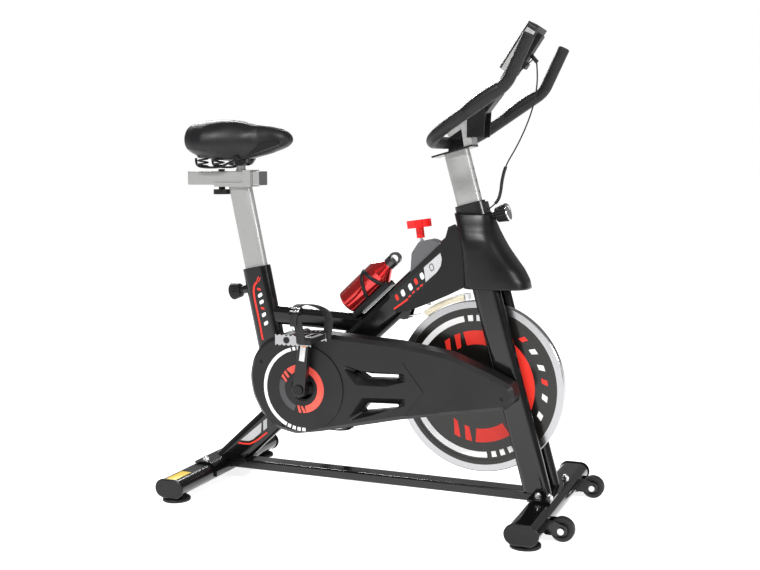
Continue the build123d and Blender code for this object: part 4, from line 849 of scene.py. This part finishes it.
# height, rear, front tip, half width
HOOD = [
    (513, 214, 362, 60.5), (532, 214, 358, 61), (556, 213.5, 345, 61), (580, 212.5, 326, 61), (604, 210, 308, 60.5),
    (622, 206.5, 297, 58.5), (638, 202, 289, 53), (644, 200, 286, 49), (650, 198, 284, 47), (662, 193, 279, 40),
    (674, 188.5, 275, 34), (682, 186, 273, 31.5),
]


def hood():
    """Moulded hood over the fork crown: one skin that runs out into the beak, and a wing on each side of the beam."""
    levels, around = 34, 64
    bottom, top = HOOD[0][0], HOOD[-1][0]
    rings = []
    for level in range(levels + 1):
        z = bottom + (top - bottom) * level / levels
        rear, tip, half = smooth_table(HOOD, z)
        middle = HEAD_TOP[0] + (HEAD_TOP[1] - z) * math.tan(math.radians(HEAD_TILT)) - 2
        point = 0.95 - 0.35 * level / levels
        ring = []
        for k in range(around):
            c, d = round_at(k, around)
            reach = (tip - middle) * rounded(c, point) if c > 0 else (middle - rear) * rounded(c, 0.55)
            ring.append(mm(middle + reach, half * rounded(d, 0.62), z))
        rings.append(ring)
    skin = new_object("hood_skin", skin_mesh("hood_skin", rings, caps=False, smooth=False))
    skin.modifiers.new("calm", "SMOOTH").iterations = 2
    wall = skin.modifiers.new("wall", "SOLIDIFY")
    wall.thickness = 0.0025
    wall.offset = -1
    apply_all(skin)
    shade_smooth(skin.data)
    dress(skin, "shroud", "frame")
    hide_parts("head_shroud")
    wing = [
        (192, 657), (176, 650), (168, 622), (30, 492), (48, 448), (78, 453), (122, 471), (160, 488), (208, 512),
        (219, 515), (214, 600), (203, 636),
    ]
    for side, tag in SIDES:
        side_film(f"hood_wing_{tag}", [wing], side * 21.3, "shroud", "frame", 3.2)


def saddle_springs():
    """Two coil springs and a rail wire under each side of the saddle."""
    turns, rise, points = 2.75, 26, 80
    out, foot, radius = 39, 787, 12
    for side, tag in SIDES:
        lines = []
        for x in (-452, -410):
            coil = []
            for k in range(points + 1):
                c, d = round_at(turns * k, points)
                coil.append(mm(x + radius * c, side * out + radius * d, foot + rise * k / points))
            lines.append(coil)
        rail = [
            (-472, side * out, 808), (-469, side * out, 792), (-452, side * out, 786), (-410, side * 38, 786),
            (-385, side * 33, 795), (-358, side * 27, 806), (-335, side * 24, 812), (-305, side * 16, 828),
        ]
        lines.append([place * MM for place in eased(rail)])
        for index, (line, thick) in enumerate(zip(lines, (2.1, 2.1, 3.0))):
            wire = tube(f"saddle_wire_{tag}_{index}", line, [thick] * len(line), 10)
            dress(wire, "plastic", "saddle")
            if index == 2 and side < 0:
                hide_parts("saddle_rails")


def pop_knob(node, pivot, way, start, long, finish, body):
    """Ribbed pull knob on its pin, along a side-view direction out from a post's axis."""
    name = f"{node}_shape"
    out, across, middle = Vector(upright(way)), Vector(ACROSS), Vector(upright(pivot))
    up = out.cross(across)
    end = start + long
    rings = []
    for reach, radius, rib in (
        (30.5, 4.2, 0), (start - 9, 4.2, 0), (start - 9, 9, 0), (start - 1, 9.5, 0), (start, 15, 0.3),
        (start + 2, 17, 1), (start + long * 0.6, 19.5, 1), (end - 5, 21, 1), (end - 2, 20.6, 0.4), (end, 18.5, 0),
        (end, 14, 0), (end - 1.2, 12.5, 0),
    ):
        ring = []
        for k in range(96):
            c, d = round_at(k, 96)
            r = radius - rib * 1.6 * max(0, round_at(16 * k, 96)[0]) ** 2
            ring.append((middle + out * reach + (across * c + up * d) * r) * MM)
        rings.append(ring)
    knob = dress(new_object(name, skin_mesh(name, rings, smooth=False)), finish, body)
    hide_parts(node)


def knobs():
    pop_knob("head_knob", HEAD_PIN, HEAD_OUT, 54, 30, "head_knob", "head_pin")
    seat_out = (-SEAT_DIR[1], SEAT_DIR[0])
    pop_knob("seat_post_knob", SEAT_PIN, seat_out, 54.5, 27, "plastic", "seat_pin")


def grip_caps():
    """Rounded ends of the foam grips."""
    way = (Vector(upright(BAR_TIP)) - Vector(upright(BAR_BEND))).normalized()
    for side, tag in SIDES:
        tip = Vector((BAR_TIP[0], side * BAR_Y, BAR_TIP[1]))
        line = [(tip + way * out) * MM for out in (-4, 0.4, 2.4, 3.6, 4.0)]
        cap = tube(f"grip_cap_{tag}", line, [13.3, 13.4, 12.2, 9.4, 5], 32)
        dress(cap, "rubber", "handlebar")


def pulse_pads():
    """Swollen pulse pads on the bars' slope, each with a bright contact strip along its top."""
    for side, tag in SIDES:
        swells = [math.sin(math.pi * k / 24) ** 0.6 for k in range(25)]
        pad, strip = [], []
        for k, swell in enumerate(swells):
            for line, lift in ((pad, 2.6 * swell), (strip, 5.0 * swell + 10.4)):
                x, z = step(BAR_START, BAR_DIR, 107 + 94 * k / 24, -lift)
                line.append(mm(x, side * BAR_Y, z))
        base = tube(f"pulse_pad_{tag}", pad, [12.9 + 2.1 * swell for swell in swells], 40)
        dress(base, "plastic", "handlebar")
        if side < 0:
            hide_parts("pulse_sensors")
        contact = tube(f"pulse_contact_{tag}", strip, [1.6 + 1.4 * swell for swell in swells], 16)
        dress(contact, "chrome", "handlebar")


def small_trim():
    """Caps on the crank axle and dark plates beside the stem."""
    gusset = [(173, 817), (216, 829), (205, 872), (178, 856)]
    arm = [(219, 851), (258, 851), (263, 932), (230, 932), (219, 893)]
    for side, tag in SIDES:
        disc(f"crank_cap_{tag}", BB, side * 152.4, side * 154.6, 12.5, "plastic", "crank")
        side_film(f"stem_gusset_skin_{tag}", [gusset], side * 18.05, "paint", "handlebar")
        side_film(f"stem_arm_skin_{tag}", [arm], side * 22.1, "satin", "handlebar", 2.5)


# ---- cords
SENSOR_CABLE = [
    (368, 6, 1014), (371, 7, 985), (368, 6, 945), (359, 4, 905), (344, 2, 865), (325, 1, 826),
    (303, 0, 790), (294, 0, 757), (291, 0, 726), (283, 0, 705), (264.5, 0, 691.5),
]
PULSE_LEAD = [
    (362, -8, 1016), (345, -60, 985), (322, -110, 958), (300, -140, 932), (270, -144, 905),
]


def curve_through(name, kind, points):
    """Curve with one spline on points in metres."""
    data = bpy.data.curves.new(name, "CURVE")
    data.dimensions = "3D"
    spline = data.splines.new(kind)
    spline.points.add(len(points) - 1)
    for made, point in zip(spline.points, points):
        made.co = (*point, 1)
    return data


def cord_line(name, points):
    """Points along one smooth curve that is led by the given points."""
    data = curve_through(name, "NURBS", [mm(*point) for point in points])
    data.resolution_u = 10
    data.splines[0].order_u = 3
    data.splines[0].use_endpoint_u = True
    route = new_object(name, data)
    graph = bpy.context.evaluated_depsgraph_get()
    graph.update()
    wire = bpy.data.meshes.new_from_object(route.evaluated_get(graph))
    line = [v.co.copy() for v in wire.vertices]
    bpy.data.meshes.remove(wire)
    bpy.data.objects.remove(route)
    return line


def tube(name, line, radii, around=14):
    """Round tube through points in metres, with a radius in millimetres at each."""
    rings = []
    side = Vector(ACROSS)
    for index, place in enumerate(line):
        run = (line[min(index + 1, len(line) - 1)] - line[max(index - 1, 0)]).normalized()
        side = (side - run * side.dot(run)).normalized()
        other = run.cross(side)
        turns = [round_at(k, around) for k in range(around)]
        rings.append([place + (side * c + other * d) * radii[index] * MM for c, d in turns])
    return new_object(name, skin_mesh(name, rings))


def make_cords():
    line = cord_line("pulse_lead_route", PULSE_LEAD)
    lead = tube("pulse_lead_run", line, [1.4] * len(line))
    dress(lead, "plastic", "handlebar")
    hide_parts("pulse_lead")
    line = cord_line("sensor_cable_route", SENSOR_CABLE)
    cable = tube("sensor_cable_run", line, [1.6] * len(line))
    dress(cable, "plastic", None)
    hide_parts("sensor_cable")
    # the sleeve covers the cable's lower part, down to the knob
    low, high = 0.702, 0.787
    part = [point for point in line if low <= point.z <= high]
    dense = []
    for a, b in zip(part, part[1:]):
        dense += [a.lerp(b, k / 6) for k in range(6)]
    dense.append(part[-1])
    radii = [3.7 + 0.35 * math.cos(index * 2.1) for index in range(len(dense))]
    radii[0] = radii[-1] = 2.8
    sleeve = tube("sensor_cable_sleeve", dense, radii)
    dress(sleeve, "plastic", None)
    plug = box_piece("sensor_cable_plug", (362, 6, 1021), (11, 0, -13), ACROSS, (24, 9, 8), 1.5)
    dress(plug, "plastic", "handlebar")
    for piece in (cable, sleeve):
        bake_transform(piece)


# ---- saddle
# x, half width, height of the lower lip, height of the crown
SADDLE = [
    (-504, 28, 842, 872), (-498, 54, 829, 886), (-485, 74, 817, 895), (-462, 88, 807, 898),
    (-430, 95, 803, 899), (-400, 86, 801, 900), (-370, 70, 803, 898), (-340, 53, 808, 890),
    (-310, 40, 815, 886), (-280, 34, 822, 884), (-256, 32, 827, 880), (-240, 28, 832, 875),
    (-229, 19, 841, 865),
]


def smooth_table(rows, x):
    """Values of a table at x, straight between its rows."""
    if x <= rows[0][0]:
        return rows[0][1:]
    for before, after in zip(rows, rows[1:]):
        if x <= after[0]:
            t = (x - before[0]) / (after[0] - before[0])
            return [a + (b - a) * t for a, b in zip(before[1:], after[1:])]
    return rows[-1][1:]


def rounded(value, power):
    return math.copysign(abs(value) ** power, value)


def saddle_top(x, y):
    """Height added to the crown by the two sit pads and the relief channel."""
    rear = max(0.0, min(1.0, (-330 - x) / 80))
    pads = 3.0 * rear * math.exp(-((abs(y) - 42) / 24) ** 2)
    channel = 6.0 * math.exp(-(y / 8.5) ** 2) * max(0.0, min(1.0, (x + 492) / 40, (-268 - x) / 40))
    return pads - channel


def saddle_shell(shrink):
    stations, around = 56, 56
    rings = []
    for i in range(stations + 1):
        x = SADDLE[0][0] + (SADDLE[-1][0] - SADDLE[0][0]) * i / stations
        half, low_z, crown = smooth_table(SADDLE, x)
        half, low_z, crown = half - shrink, low_z + shrink * 0.6, crown - shrink
        middle = low_z + (crown - low_z) * 0.42
        ring = []
        for k in range(around):
            c, d = round_at(k, around)
            y = half * rounded(c, 0.78)
            if d >= 0:
                z = middle + (crown - middle) * rounded(d, 0.92) + saddle_top(x, y) * d ** 3
            else:
                z = middle + (middle - low_z) * rounded(d, 0.62)
                y *= 1 - 0.12 * abs(d)
            ring.append(mm(x, y, z))
        rings.append(ring)
    return skin_mesh("saddle_cover", rings, smooth=False)


def apply_all(obj):
    """The object's modifiers become its mesh."""
    graph = bpy.context.evaluated_depsgraph_get()
    graph.update()
    mesh = bpy.data.meshes.new_from_object(obj.evaluated_get(graph))
    obj.modifiers.clear()
    obj.data = mesh


def inflate(obj, cap):
    """Cloth under pressure for a few frames; no point moves further than the cap."""
    start = [v.co.copy() for v in obj.data.vertices]
    cloth = obj.modifiers.new("puff", "CLOTH")
    cloth.settings.use_pressure = True
    cloth.settings.uniform_pressure_force = 4
    cloth.settings.effector_weights.gravity = 0
    cloth.settings.quality = 5
    scene = bpy.context.scene
    for number in range(1, 19):
        scene.frame_set(number)
    graph = bpy.context.evaluated_depsgraph_get()
    puffed = obj.evaluated_get(graph).data
    moved = [v.co.copy() for v in puffed.vertices]
    obj.modifiers.clear()
    scene.frame_set(1)
    for vertex, before, after in zip(obj.data.vertices, start, moved):
        shift = after - before
        if shift.length > cap:
            shift = shift * (cap / shift.length)
        vertex.co = before + shift


def shade_smooth(mesh):
    for polygon in mesh.polygons:
        polygon.use_smooth = True


def make_saddle():
    cushion = new_object("saddle_cover", saddle_shell(3.5))
    remesh = cushion.modifiers.new("even", "REMESH")
    remesh.mode = "VOXEL"
    remesh.voxel_size = 0.005
    apply_all(cushion)
    inflate(cushion, 0.005)
    cushion.modifiers.new("calm", "SMOOTH").iterations = 4
    cushion.modifiers.new("fine", "SUBSURF").levels = 1
    apply_all(cushion)
    shade_smooth(cushion.data)
    dress(cushion, "leather", "saddle")
    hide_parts("saddle_cushion")
    return cushion


def seam_on(target, name, points, radius):
    """Stitched seam: a fine cord laid on the nearest surface of another piece."""
    spacing = 0.0025
    line = []
    for start, end in zip(points, points[1:]):
        start, end = mm(*start), mm(*end)
        count = max(1, int((end - start).length / spacing))
        line += [start.lerp(end, i / count) for i in range(count)]
    line.append(mm(*points[-1]))
    laid = []
    for point in line:
        _, place, normal, _ = target.closest_point_on_mesh(point)
        laid.append(place + normal * radius * MM * 0.3)
    data = curve_through(name, "POLY", laid)
    data.bevel_depth = radius * MM
    data.bevel_resolution = 2
    dress(new_object(name, data), "plastic", "saddle")


def saddle_seams(cushion):
    for side, tag in SIDES:
        top = [
            (-495, side * 14, 890), (-460, side * 16, 905), (-410, side * 15, 905), (-360, side * 13, 900),
            (-310, side * 11, 890), (-268, side * 8, 888), (-246, side * 3, 880),
        ]
        seam_on(cushion, f"saddle_seam_top_{tag}", top, 0.55)
        flank = [
            (-500, side * 30, 836), (-480, side * 75, 828), (-450, side * 95, 822), (-415, side * 95, 816),
            (-380, side * 80, 818),
        ]
        seam_on(cushion, f"saddle_seam_flank_{tag}", flank, 0.6)


# ---- build
make_camera()
make_studio()
MATERIALS = make_materials()
dress_nodes()
make_cords()
flywheel_prints()
cover_prints()
beam_prints()
frame_prints()
labels()
toe_straps()
bottle_holder()
small_trim()
hood()
saddle_springs()
grip_caps()
pulse_pads()
knobs()
CUSHION = make_saddle()
saddle_seams(CUSHION)

bpy.context.view_layer.update()
